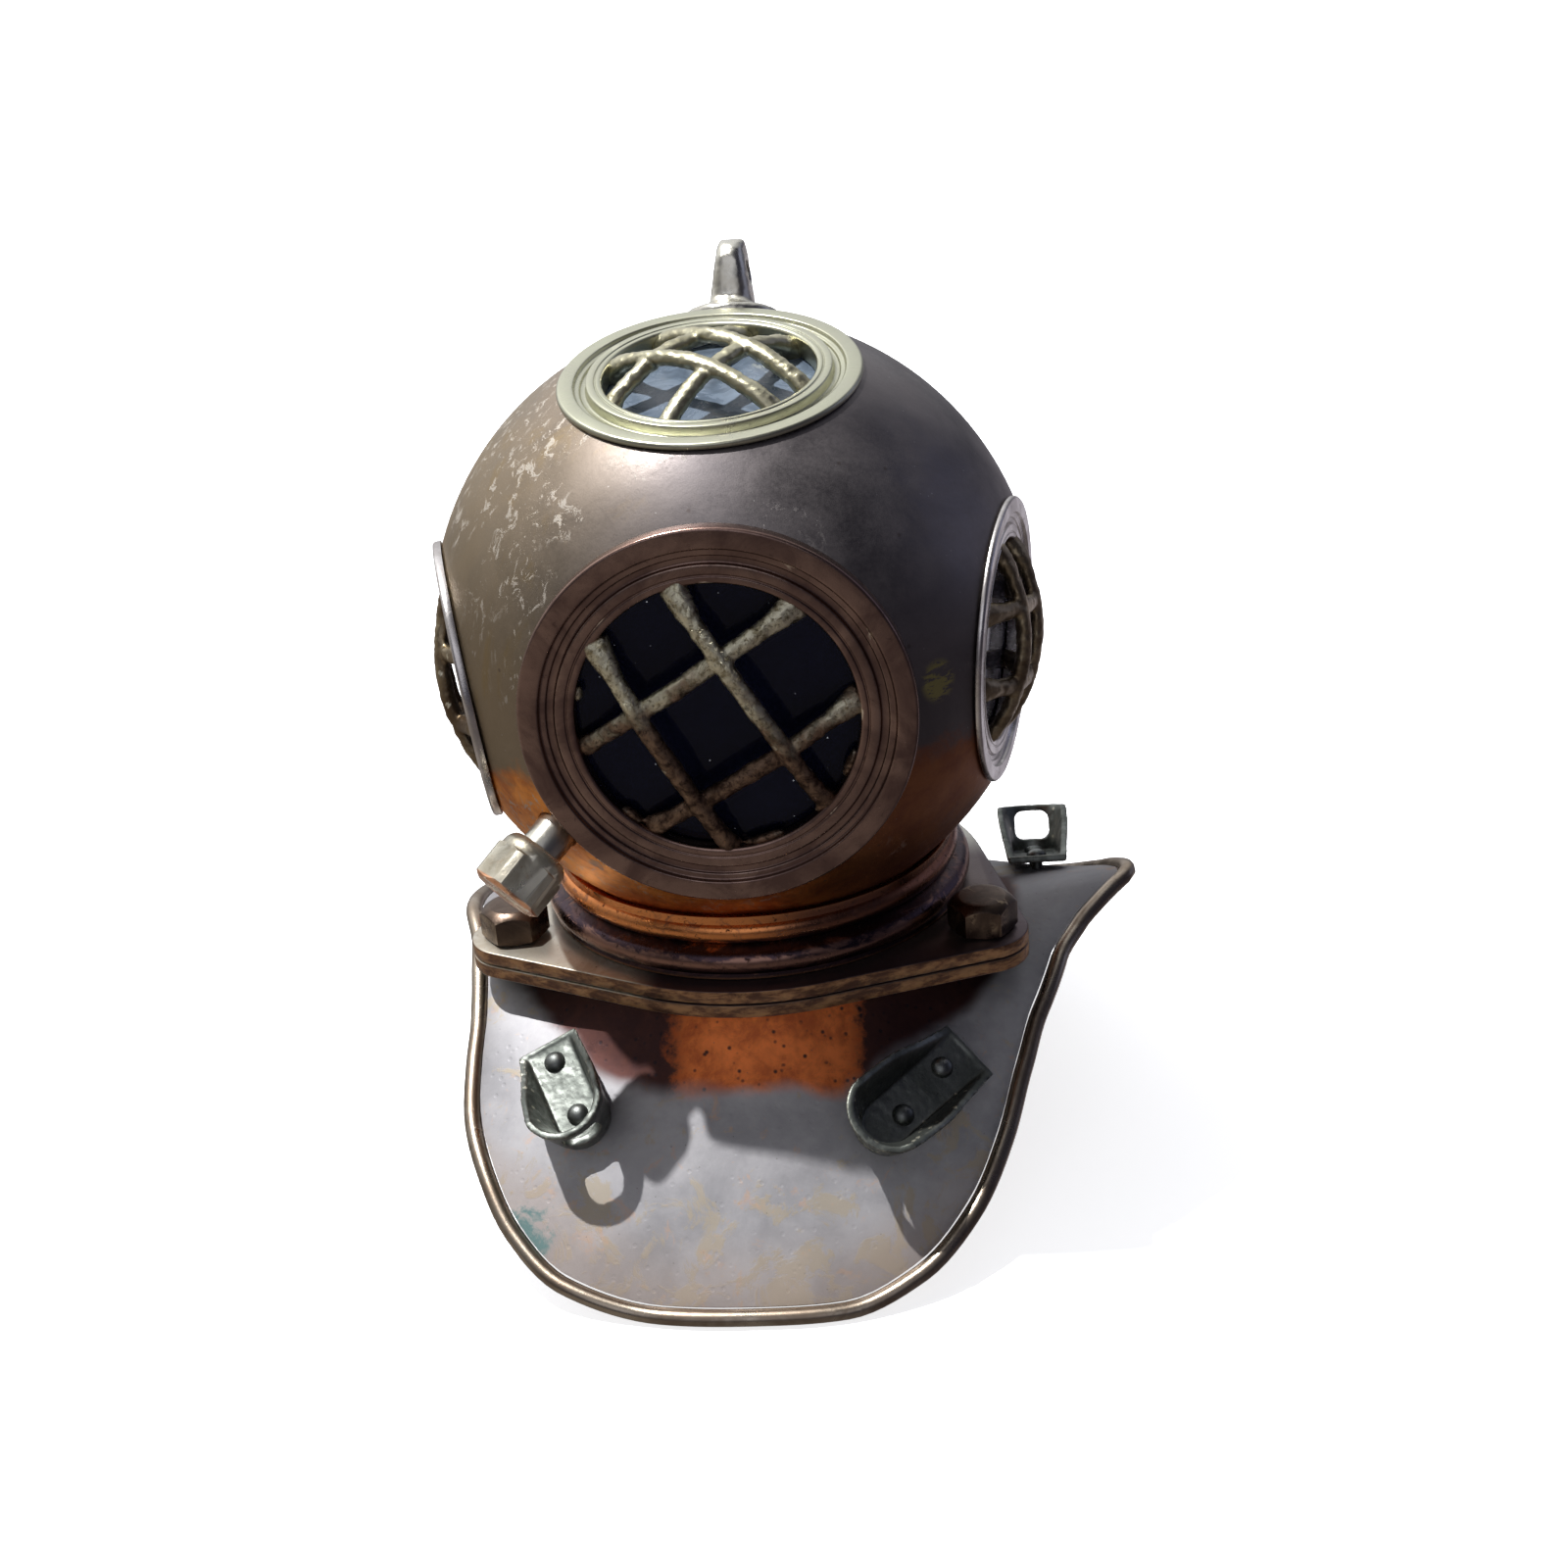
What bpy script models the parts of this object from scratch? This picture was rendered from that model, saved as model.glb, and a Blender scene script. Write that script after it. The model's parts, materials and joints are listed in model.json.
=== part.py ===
"""A miniature three-bolt diving helmet, an ornament for a pond or an aquarium.

A copper bonnet with four barred windows stands on a brass flange, which three
hexagon bolts hold to the flange of a sheet-copper corselet.  An air inlet with a
union nut leaves the bonnet beside the front window.  All lengths below are in
millimetres, measured from the centre of the bonnet ball: +X is to the viewer's
right, -Y is the front, +Z is up.  Meshes are written in metres.
"""

import math

import bmesh
import bpy
from mathutils import Matrix, Vector

MM = 0.001
GAP = 0.3                      # clearance between pieces that touch

# Bonnet ball
BALL_R = 50.0
BALL_WALL = 1.5
BALL_SEGMENTS = 36
BALL_ARC_STEPS = 12
NECK_CUT_Z = -38.9

# Windows: a face at `face` from the ball's centre, an outer and an opening radius, how far
# the ring laps over the edge of its hole, the height of the inner land over the face, the
# direction of the outward normal, and for each grille bar its turn in the window's plane and
# how far it passes from the centre
WINDOW_SEGMENTS = 28
GLASS_THICK = 1.6
RETAINER_THICK = 1.2
GLASS_LAP = 2.4                # how far a glass reaches behind the opening
LEDGE_THICK = 3.0
SIDE_TURN = 77.0
TOP_RISE = 78.0
BAR_WIDTH = 2.8
BAR_DEPTH = 2.4
WINDOWS = {
    "front": dict(face=43.0, outer=30.0, opening=21.3, lap=1.8, land=-0.5, azimuth=0.0,
                  rise=0.0, dome=3.2, bars=((32, 7.7), (31, -9.4), (117, 9.4), (120, -6.2))),
    "top": dict(face=45.3, outer=23.8, opening=16.6, lap=1.0, land=0.5, azimuth=0.0,
                rise=TOP_RISE, dome=5.0, bars=((49, 7.1), (56, -3.3), (-34, -4.0), (-41, 5.3))),
    "left": dict(face=46.2, outer=23.0, opening=16.2, lap=1.8, land=-0.5, azimuth=-SIDE_TURN,
                 rise=-5.0, dome=4.6, bars=((12, -6.0), (12, 6.0), (102, -6.0), (102, 6.0))),
    "right": dict(face=45.7, outer=23.0, opening=16.2, lap=1.0, land=-0.5, azimuth=SIDE_TURN,
                  rise=-2.3, dome=5.4, bars=((-12, -6.0), (-12, 6.0), (78, -6.0), (78, 6.0))),
}

# Neck collar and the two flanges with the gasket between them
COLLAR_BORE = 30.6
COLLAR_BEAD_HIGH = (33.2, -40.7, 1.9)    # radius and height of the bead's centre, bead radius
COLLAR_BEAD_LOW = (34.8, -45.2, 2.2)
COLLAR_FOOT_R = 36.3
FLANGE_TOP_Z = -48.0
FLANGE_THICK = 1.9
GASKET_THICK = 0.5
FLANGE_GAP = 0.25
FLANGE_R = 40.0
EAR_R = 7.5
EAR_CENTRE_R = 44.0
FLANGE_TURN = -3.0
EAR_TURNS = {"left": -64.0, "right": 64.0, "rear": 180.0}
BOLT_HEAD_FLATS = 10.0
BOLT_HEAD_HIGH = 5.8
BOLT_SHANK_R = 2.9
BOLT_HOLE_R = 3.25
CHAMFER = 0.9

# Corselet: a sheet saddle.  Rim points are (turn from the front, radius, height) of the
# bead's centre; the two shoulders differ because the right one is drawn out to a point.
SHEET_THICK = 1.2
NECK_TOP_R = 36.3
NECK_TOP_Z = -53.5
CREASE_FRONT = (44.5, -65.3)
CREASE_SIDE = (42.0, -54.9)
BIB_BULGE = 1.6
BEAD_R = 1.5
BEAD_SIDES = 6
REST_Z = -88.8
RIM_RIGHT = ((0, 69.3, REST_Z), (12, 69.8, REST_Z), (22, 68.7, -86.0), (32, 65.2, -80.8),
             (42, 60.2, -74.4), (52, 55.8, -67.8), (62, 53.7, -62.2), (72, 53.8, -57.4),
             (80, 56.0, -54.6), (86, 60.2, -51.9), (90, 64.3, -49.7), (97, 63.8, -52.5),
             (106, 63.0, -57.7), (116, 62.2, -63.2), (126, 62.4, -68.4), (136, 63.8, -74.4),
             (146, 66.4, -79.9), (156, 68.8, -84.7), (168, 69.8, REST_Z), (180, 69.3, REST_Z))
RIM_LEFT = ((0, 69.3, REST_Z), (12, 69.8, REST_Z), (25, 70.6, -86.0), (34, 68.5, -81.6),
            (43, 64.7, -75.4), (50, 61.3, -70.9), (57, 56.8, -65.8), (64, 53.0, -61.4),
            (72, 50.8, -57.2), (80, 49.9, -54.2), (90, 51.5, -52.0), (102, 52.6, -54.2),
            (115, 55.4, -61.0), (126, 59.0, -67.8), (136, 62.6, -74.0), (146, 66.2, -79.8),
            (156, 68.8, -84.7), (168, 69.8, REST_Z), (180, 69.3, REST_Z))
AZIMUTH_STEP = 6
NECK_STEPS = 2
BIB_STEPS = 5

# Air inlet beside the front window
INLET_ROOT = Vector((-27.2, -37.2, -19.4))
INLET_AXIS = Vector((-0.61, -0.55, -0.57))
SPIGOT_R = 3.4
SPIGOT_BORE_R = 2.1
SPIGOT_INSIDE = 1.6
SPIGOT_END = 9.7
NUT_FLATS = 11.0
NUT_START = 6.4
NUT_END = 13.0
NUT_COLLAR_START = 4.0
NUT_BORE_R = 2.3
WASHER_THICK = 0.7

# Crown lug
LUG_DIRECTION = Vector((0.03, 0.44, 0.897))
LUG_BASE_R = 8.0
LUG_BASE_TOP = 52.0
LUG_HIGH = 12.0
LUG_HALF_THICK = (3.8, 2.1)    # at the foot and at the top
LUG_HALF_WIDE = 5.0
LUG_EYE_R = 2.1

# Brackets: cast scoops with an eye in the end wall, riveted to the corselet.  A place is
# the turn from the front and the radius of the upper rivet, the heading down the sheet, the
# height of the floor over the sheet, the scoop's length, height and flare at the top, the
# distance from its open end to the upper rivet, and its twist off the line of the rivets.
BRACKET_HALF_WIDE = 5.1
BRACKET_WALL = 1.1
BRACKET_FLOOR = 1.1
SILL_LONG = 0.8                # low lip across the open end
SILL_HIGH = 0.15
EYE_WIDE = 6.4
EYE_HIGH = 5.3
EYE_RISE = 6.0
RIVET_SPACING = 10.6
RIVET_R = 1.0
RIVET_HOLE_R = 1.35
RIVET_HEAD_R = 1.8
RIVET_TAIL_GAP = 0.7
BRACKETS = {
    "left_hook": dict(turn=-42.5, radius=48.0, heading=28.0, lift=0.4, long=20.4, high=10.6,
                      flare=2.2, margin=4.0, twist=0.0),
    "right_hook": dict(turn=38.5, radius=48.8, heading=-41.0, lift=0.4, long=24.4, high=10.6,
                       flare=3.2, margin=5.8, twist=-9.0),
    "shoulder": dict(turn=106.0, radius=51.3, heading=180.0, lift=1.2, long=19.2, high=9.6,
                     flare=1.8, margin=4.2, twist=0.0),
}

COLOURS = {
    "bonnet_copper": ((0.33, 0.20, 0.15), 0.42),
    "collar_copper": ((0.55, 0.24, 0.12), 0.30),
    "corselet_copper": ((0.42, 0.33, 0.30), 0.38),
    "window_bronze": ((0.27, 0.17, 0.12), 0.40),
    "window_brass": ((0.52, 0.50, 0.38), 0.36),
    "grille_brass": ((0.46, 0.40, 0.24), 0.45),
    "flange_brass": ((0.50, 0.42, 0.24), 0.38),
    "fitting_brass": ((0.56, 0.52, 0.42), 0.30),
    "cast_brass": ((0.40, 0.42, 0.34), 0.50),
    "bolt_bronze": ((0.22, 0.15, 0.10), 0.45),
    "bead_brass": ((0.50, 0.42, 0.32), 0.36),
    "rivet_bronze": ((0.25, 0.25, 0.23), 0.45),
}
PLAIN = {"window_glass": ((0.02, 0.03, 0.06), 0.08), "gasket_rubber": ((0.03, 0.03, 0.03), 0.8),
         "washer_fibre": ((0.20, 0.10, 0.06), 0.8)}


# ---------------------------------------------------------------- helpers

def clear_scene():
    for item in list(bpy.data.objects):
        bpy.data.objects.remove(item)


def make_materials():
    """One Principled material for each finish."""
    made = {}
    for metallic, table in ((1.0, COLOURS), (0.0, PLAIN)):
        for name, (colour, roughness) in table.items():
            material = bpy.data.materials.new(name)
            material.use_nodes = True
            shader = material.node_tree.nodes["Principled BSDF"]
            shader.inputs["Base Color"].default_value = (*colour, 1.0)
            shader.inputs["Metallic"].default_value = metallic
            shader.inputs["Roughness"].default_value = roughness
            made[name] = material
    return made


def add_empty(name, matrix, parent=None):
    empty = bpy.data.objects.new(name, None)
    bpy.context.collection.objects.link(empty)
    empty.parent = parent
    empty.matrix_local = matrix
    return empty


def add_object(name, bm, parent, material=None, smooth_angle=40.0):
    """Turn a millimetre bmesh into a metre object under its parent empty."""
    bmesh.ops.remove_doubles(bm, verts=bm.verts, dist=0.0005)
    if all(edge.is_manifold for edge in bm.edges):
        bmesh.ops.recalc_face_normals(bm, faces=bm.faces)
    bmesh.ops.scale(bm, vec=(MM, MM, MM), verts=bm.verts)
    mesh = bpy.data.meshes.new(name)
    bm.to_mesh(mesh)
    bm.free()
    mesh.shade_smooth()
    mesh.set_sharp_from_angle(angle=math.radians(smooth_angle))
    item = bpy.data.objects.new(name, mesh)
    bpy.context.collection.objects.link(item)
    item.parent = parent
    if material:
        mesh.materials.append(material)
    return item


def add_cutter(name, bm, parent):
    cutter = add_object(name, bm, parent)
    cutter.hide_render = True
    cutter.display_type = 'WIRE'
    return cutter


def boolean(item, cutter, operation='DIFFERENCE'):
    modifier = item.modifiers.new(cutter.name, 'BOOLEAN')
    modifier.operation = operation
    modifier.object = cutter
    modifier.solver = 'EXACT'


def turned(profile, segments):
    """Turn (radius, height) points about Z; a profile that leaves the axis is closed."""
    bm = bmesh.new()
    points = [bm.verts.new((radius, 0.0, height)) for radius, height in profile]
    pairs = list(zip(points, points[1:]))
    if profile[0][0] > 0 or profile[-1][0] > 0:
        pairs.append((points[-1], points[0]))
    edges = [bm.edges.new(pair) for pair in pairs]
    bmesh.ops.spin(bm, geom=points + edges, axis=(0, 0, 1), cent=(0, 0, 0),
                   angle=math.tau, steps=segments, use_duplicate=False)
    return bm


def cylinder(radius, low, high, segments):
    return turned([(0, high), (radius, high), (radius, low), (0, low)], segments)


def arc(centre, radius, start, end, steps):
    """Points on an arc, angles in degrees from +X towards +Y of the profile plane."""
    points = []
    for step in range(steps + 1):
        angle = math.radians(start + (end - start) * step / steps)
        points.append((centre[0] + radius * math.cos(angle),
                       centre[1] + radius * math.sin(angle)))
    return points


def on_circle(radius, turn):
    """Plan point at a turn from the front; a positive turn goes to the right."""
    angle = math.radians(turn)
    return Vector((radius * math.sin(angle), -radius * math.cos(angle), 0.0))


def mm_matrix(matrix):
    """The same placement with its translation turned from millimetres into metres."""
    scaled = matrix.copy()
    scaled.translation = matrix.translation * MM
    return scaled


def outward_frame(normal, up=Vector((0, 0, 1))):
    """Rotation whose local Z is the normal and whose local X lies level, to the right."""
    across = up.cross(normal).normalized()
    return Matrix((across, normal.cross(across), normal)).transposed().to_4x4()


def loops_to_body(loops):
    """Join equal closed loops in order and cap the first and the last."""
    bm = bmesh.new()
    rings = [[bm.verts.new(point) for point in loop] for loop in loops]
    for ring, following in zip(rings, rings[1:]):
        for index in range(len(ring)):
            after = (index + 1) % len(ring)
            bm.faces.new((ring[index], ring[after], following[after], following[index]))
    bm.faces.new(rings[0])
    bm.faces.new(rings[-1])
    return bm


def smooth_through(points, column, position):
    """Monotone cubic through rows of (position, value, value)."""
    spans = [(a[0], b[0], a[column], b[column]) for a, b in zip(points, points[1:])]
    slopes = [(v1 - v0) / (x1 - x0) for x0, x1, v0, v1 in spans]
    tangents = [0.0]
    for before, after in zip(slopes, slopes[1:]):
        same_way = before * after > 0
        tangents.append(2 * before * after / (before + after) if same_way else 0.0)
    tangents.append(0.0)
    for index, (x0, x1, v0, v1) in enumerate(spans):
        if position <= x1 or index == len(spans) - 1:
            width = x1 - x0
            t = (position - x0) / width
            return ((1 + 2 * t) * (1 - t) ** 2 * v0 + t * (1 - t) ** 2 * width * tangents[index]
                    + t * t * (3 - 2 * t) * v1 + t * t * (t - 1) * width * tangents[index + 1])


# ---------------------------------------------------------------- bonnet

def ball_height(radius, extra=0.0):
    """Distance from the centre, along an axis, of the ball's surface at a radius."""
    return math.sqrt((BALL_R + extra) ** 2 - radius ** 2)


def window_normal(window):
    rise = math.radians(window["rise"])
    plan = on_circle(math.cos(rise), window["azimuth"])
    return Vector((plan.x, plan.y, math.sin(rise)))


def add_bonnet_shell(bonnet, window_axes, inlet_axis, material):
    outer_start = math.degrees(math.asin(NECK_CUT_Z / BALL_R))
    inner_r = BALL_R - BALL_WALL
    inner_start = math.degrees(math.asin(NECK_CUT_Z / inner_r))
    profile = arc((0, 0), BALL_R, 90.0, outer_start, BALL_ARC_STEPS)
    profile += arc((0, 0), inner_r, inner_start, 90.0, BALL_ARC_STEPS)
    profile[0] = (0.0, BALL_R)
    profile[-1] = (0.0, inner_r)
    shell = add_object("bonnet_shell", turned(profile, BALL_SEGMENTS), bonnet, material)
    for name, window in WINDOWS.items():
        hole = cylinder(window["outer"] - window["lap"], 30.0, 60.0, WINDOW_SEGMENTS)
        boolean(shell, add_cutter(f"{name}_window_hole", hole, window_axes[name]))
    hole = cylinder(SPIGOT_R + GAP, -8.0, 6.0, 20)
    boolean(shell, add_cutter("inlet_hole", hole, inlet_axis))


def add_window(name, window, axis, materials):
    """Ring, grille, glass and retaining ring on the window's own axis."""
    face, outer, opening = window["face"], window["outer"], window["opening"]
    seat = outer - window["lap"]
    glass_r = opening + GLASS_LAP
    ledge = face - LEDGE_THICK
    glass_low = ledge - GAP - GLASS_THICK
    depth = glass_low - GAP - RETAINER_THICK - 0.5
    part = (outer - opening) / 8.7
    land = face + window["land"]
    ring = [(opening, ledge), (opening, land), (opening + 3.0 * part, land),
            (opening + 3.2 * part, face - 1.1), (opening + 5.3 * part, face - 1.1),
            (opening + 5.5 * part, face), (outer, face),
            (outer, ball_height(outer, GAP)), (seat - GAP, ball_height(seat, GAP)),
            (seat - GAP, depth), (glass_r + GAP, depth), (glass_r + GAP, ledge)]
    ring_finish = "window_bronze" if name == "front" else "window_brass"
    add_object(f"{name}_window_ring", turned(ring, WINDOW_SEGMENTS), axis,
               materials[ring_finish])
    glass = cylinder(glass_r, glass_low, ledge - GAP, WINDOW_SEGMENTS)
    add_object(f"{name}_window_glass", glass, axis, materials["window_glass"])
    high = glass_low - GAP
    retainer = [(glass_r - 3.0, high), (glass_r, high), (glass_r, high - RETAINER_THICK),
                (glass_r - 3.0, high - RETAINER_THICK)]
    add_object(f"{name}_glass_retainer", turned(retainer, WINDOW_SEGMENTS), axis,
               materials["window_brass"])
    add_grille(name, window, axis, materials["grille_brass"])


def bar_body(turn, offset, opening, crown, foot):
    """One arched bar across the opening, from foot height up to crown and back."""
    bm_loops = []
    steps, sides = 6, 6
    along = Vector((math.cos(turn), math.sin(turn), 0.0))
    across = Vector((-math.sin(turn), math.cos(turn), 0.0))
    half = math.sqrt((opening - GAP) ** 2 - (abs(offset) + BAR_WIDTH / 2) ** 2)
    sphere_r = (opening ** 2 + (crown - foot) ** 2) / (2 * (crown - foot))
    for step in range(steps + 1):
        run = -half + 2 * half * step / steps
        height = crown - sphere_r + math.sqrt(sphere_r ** 2 - run ** 2 - offset ** 2)
        slope = Vector((-run * along.x, -run * along.y, 0.0)) / sphere_r
        lift = (Vector((0, 0, 1)) - slope).normalized()
        centre = along * run + across * offset + Vector((0, 0, height))
        loop = []
        for side in range(sides):
            angle = math.tau * side / sides
            loop.append(centre + across * (BAR_WIDTH / 2 * math.cos(angle))
                        + lift * (BAR_DEPTH / 2 * math.sin(angle)))
        bm_loops.append(loop)
    return loops_to_body(bm_loops)


def add_grille(name, window, axis, material):
    """Two bars one way and two the other way, joined where they cross."""
    foot = window["face"] - 1.9
    crown = window["face"] + window["dome"] - BAR_DEPTH / 2
    grille = None
    for index, (turn, offset) in enumerate(window["bars"]):
        rise = 0.0 if index < 2 else 0.7
        body = bar_body(math.radians(turn), offset, window["opening"], crown - 0.7 + rise,
                        foot + rise)
        if grille is None:
            grille = add_object(f"{name}_grille", body, axis, material)
        else:
            boolean(grille, add_cutter(f"{name}_bar_{index}", body, axis), 'UNION')


def add_neck_collar(bonnet, material):
    lip_low, lip_high = NECK_CUT_Z - GAP, NECK_CUT_Z + 1.2
    lip_low_r = math.sqrt((BALL_R + GAP) ** 2 - lip_low ** 2)
    lip_high_r = math.sqrt((BALL_R + GAP) ** 2 - lip_high ** 2)
    foot_z = FLANGE_TOP_Z + FLANGE_GAP
    high, low = COLLAR_BEAD_HIGH, COLLAR_BEAD_LOW
    profile = [(lip_low_r, lip_low), (lip_high_r, lip_high), (lip_high_r + 0.8, lip_high)]
    profile += arc(high[:2], high[2], 55.0, -60.0, 3)
    profile += arc(low[:2], low[2], 70.0, -50.0, 3)
    profile += [(COLLAR_FOOT_R, foot_z), (COLLAR_BORE, foot_z), (COLLAR_BORE, lip_low)]
    add_object("neck_collar", turned(profile, BALL_SEGMENTS), bonnet, material)


def flange_body(high, low, inset):
    """Plate outline: the round of the neck with three ears, as one convex outline."""
    outline = []
    for centre_r, radius, turn in [(0.0, FLANGE_R, 0.0)] + [
            (EAR_CENTRE_R, EAR_R, turn + FLANGE_TURN) for turn in EAR_TURNS.values()]:
        centre = on_circle(centre_r, turn)
        steps = 48 if centre_r == 0.0 else 20
        outline += [centre + on_circle(radius - inset, 360.0 * step / steps)
                    for step in range(steps)]
    bm = bmesh.new()
    points = [bm.verts.new((point.x, point.y, height)) for height in (high, low)
              for point in outline]
    hull = bmesh.ops.convex_hull(bm, input=points)
    loose = [item for item in hull["geom_interior"] + hull["geom_unused"]
             if isinstance(item, bmesh.types.BMVert)]
    bmesh.ops.delete(bm, geom=list(set(loose)), context='VERTS')
    flat = [edge for edge in bm.edges if edge.is_manifold and edge.calc_face_angle(1.0) < 0.001]
    bmesh.ops.dissolve_edges(bm, edges=flat, use_verts=False)
    return bm


def add_flanges(bonnet, corselet, materials):
    """Bonnet flange, gasket and corselet flange, each with its bore and bolt holes."""
    high = FLANGE_TOP_Z
    for name, parent, thick, inset, bore, finish in (
            ("bonnet_flange", bonnet, FLANGE_THICK, 0.0, COLLAR_BORE, "flange_brass"),
            ("flange_gasket", corselet, GASKET_THICK, 0.8, COLLAR_BORE + 0.4, "gasket_rubber"),
            ("corselet_flange", corselet, FLANGE_THICK, 0.0, COLLAR_BORE, "flange_brass")):
        low = high - thick
        plate = add_object(name, flange_body(high, low, inset), parent, materials[finish])
        bore_body = cylinder(bore, low - 2, high + 2, BALL_SEGMENTS)
        boolean(plate, add_cutter(f"{name}_bore", bore_body, parent))
        for ear, turn in EAR_TURNS.items():
            hole = cylinder(BOLT_HOLE_R, low - 2, high + 2, 16)
            bmesh.ops.translate(hole, verts=hole.verts,
                                vec=on_circle(EAR_CENTRE_R, turn + FLANGE_TURN))
            boolean(plate, add_cutter(f"{name}_{ear}_bolt_hole", hole, parent))
        high = low - FLANGE_GAP


def hexagon(flats, height, turn=0.0):
    corner = flats / math.sqrt(3)
    return [Vector((corner * math.cos(math.tau * side / 6 + turn),
                    corner * math.sin(math.tau * side / 6 + turn), height)) for side in range(6)]


def add_bolts(bonnet, material):
    """Hexagon heads and their shanks, on the bolt's own axis at the flange's top face."""
    tip = -(2 * FLANGE_THICK + GASKET_THICK + 2 * FLANGE_GAP) + 0.2
    for ear, turn in EAR_TURNS.items():
        place = on_circle(EAR_CENTRE_R, turn + FLANGE_TURN) + Vector((0, 0, FLANGE_TOP_Z))
        axis = add_empty(f"{ear}_bolt_axis", Matrix.Translation(place * MM), bonnet)
        head = loops_to_body([
            hexagon(BOLT_HEAD_FLATS, FLANGE_GAP), hexagon(BOLT_HEAD_FLATS, BOLT_HEAD_HIGH - CHAMFER),
            hexagon(BOLT_HEAD_FLATS - 1.8 * CHAMFER, BOLT_HEAD_HIGH)])
        add_object(f"{ear}_flange_bolt", head, axis, material, 20.0)
        shank = cylinder(BOLT_SHANK_R, tip, FLANGE_GAP - GAP, 16)
        add_object(f"{ear}_bolt_shank", shank, axis, material)


def add_crown_lug(bonnet, material):
    """Round foot on the ball and a tapered upright with an eye across it."""
    axis = add_empty("crown_lug_axis", outward_frame(LUG_DIRECTION.normalized()), bonnet)
    foot = [(0.0, ball_height(0.0, GAP)), (4.0, ball_height(4.0, GAP)),
            (LUG_BASE_R, ball_height(LUG_BASE_R, GAP)), (LUG_BASE_R, LUG_BASE_TOP - 0.8),
            (LUG_BASE_R - 1.2, LUG_BASE_TOP), (0.0, LUG_BASE_TOP)]
    lug = add_object("crown_lug", turned(foot, 24), axis, material)
    top = LUG_BASE_TOP + LUG_HIGH
    centre = (0.0, top - LUG_HALF_WIDE)
    outline = [(LUG_HALF_WIDE, LUG_BASE_TOP - 0.8)] + arc(centre, LUG_HALF_WIDE, 0.0, 180.0, 8)
    outline.append((-LUG_HALF_WIDE, LUG_BASE_TOP - 0.8))
    sides = []
    for side in (-1, 1):
        loop = []
        for along, height in outline:
            share = (height - LUG_BASE_TOP) / LUG_HIGH
            thick = LUG_HALF_THICK[0] + (LUG_HALF_THICK[1] - LUG_HALF_THICK[0]) * share
            loop.append(Vector((side * thick, along, height)))
        sides.append(loop)
    upright = add_cutter("crown_lug_upright", loops_to_body(sides), axis)
    boolean(lug, upright, 'UNION')
    eye = cylinder(LUG_EYE_R, -10.0, 10.0, 14)
    bmesh.ops.rotate(eye, verts=eye.verts, cent=(0, 0, 0),
                     matrix=Matrix.Rotation(math.pi / 2, 3, 'Y'))
    bmesh.ops.translate(eye, verts=eye.verts, vec=(0, 0, centre[1] - 0.6))
    boolean(lug, add_cutter("crown_lug_eye", eye, axis))


# ---------------------------------------------------------------- air inlet

def add_inlet(axis, materials):
    """Spigot through the ball's wall, sealing washer and union nut, along the inlet axis."""
    spigot = [(SPIGOT_BORE_R, -SPIGOT_INSIDE), (SPIGOT_R, -SPIGOT_INSIDE),
              (SPIGOT_R, SPIGOT_END), (SPIGOT_BORE_R, SPIGOT_END)]
    add_object("inlet_spigot", turned(spigot, 20), axis, materials["fitting_brass"])
    washer_low = SPIGOT_END + GAP
    washer_high = washer_low + WASHER_THICK
    washer = [(NUT_BORE_R, washer_low), (NUT_BORE_R, washer_high),
              (SPIGOT_R, washer_high), (SPIGOT_R, washer_low)]
    add_object("inlet_washer", turned(washer, 20), axis, materials["washer_fibre"])
    nut = add_object("inlet_union_nut", loops_to_body([
        hexagon(NUT_FLATS - 1.0, NUT_START), hexagon(NUT_FLATS, NUT_START + 0.8),
        hexagon(NUT_FLATS, NUT_END - CHAMFER), hexagon(NUT_FLATS - 1.4 * CHAMFER, NUT_END)]),
        axis, materials["fitting_brass"], 20.0)
    collar = turned([(0, NUT_COLLAR_START), (4.6, NUT_COLLAR_START), (5.2, NUT_COLLAR_START + 0.5),
                     (5.45, NUT_START), (5.3, NUT_START + 1.5), (0, NUT_START + 1.5)][::-1], 24)
    boolean(nut, add_cutter("nut_collar", collar, axis), 'UNION')
    thread = cylinder(SPIGOT_R + GAP, NUT_COLLAR_START - 2, washer_high + GAP, 20)
    boolean(nut, add_cutter("nut_thread_bore", thread, axis))
    boolean(nut, add_cutter("nut_air_bore", cylinder(NUT_BORE_R, 5.0, 16.0, 20), axis))


# ---------------------------------------------------------------- corselet

def rim_point(turn):
    """Centre of the rim bead."""
    wrapped = (turn + 180.0) % 360.0 - 180.0
    table = RIM_RIGHT if wrapped > 0 else RIM_LEFT
    point = on_circle(smooth_through(table, 1, abs(wrapped)), wrapped)
    point.z = smooth_through(table, 2, abs(wrapped))
    return point


def rim_direction(turn):
    return (rim_point(turn + AZIMUTH_STEP) - rim_point(turn - AZIMUTH_STEP)).normalized()


def bezier(start, middle, end, t):
    return start * (1 - t) ** 2 + middle * 2 * t * (1 - t) + end * t * t


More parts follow.
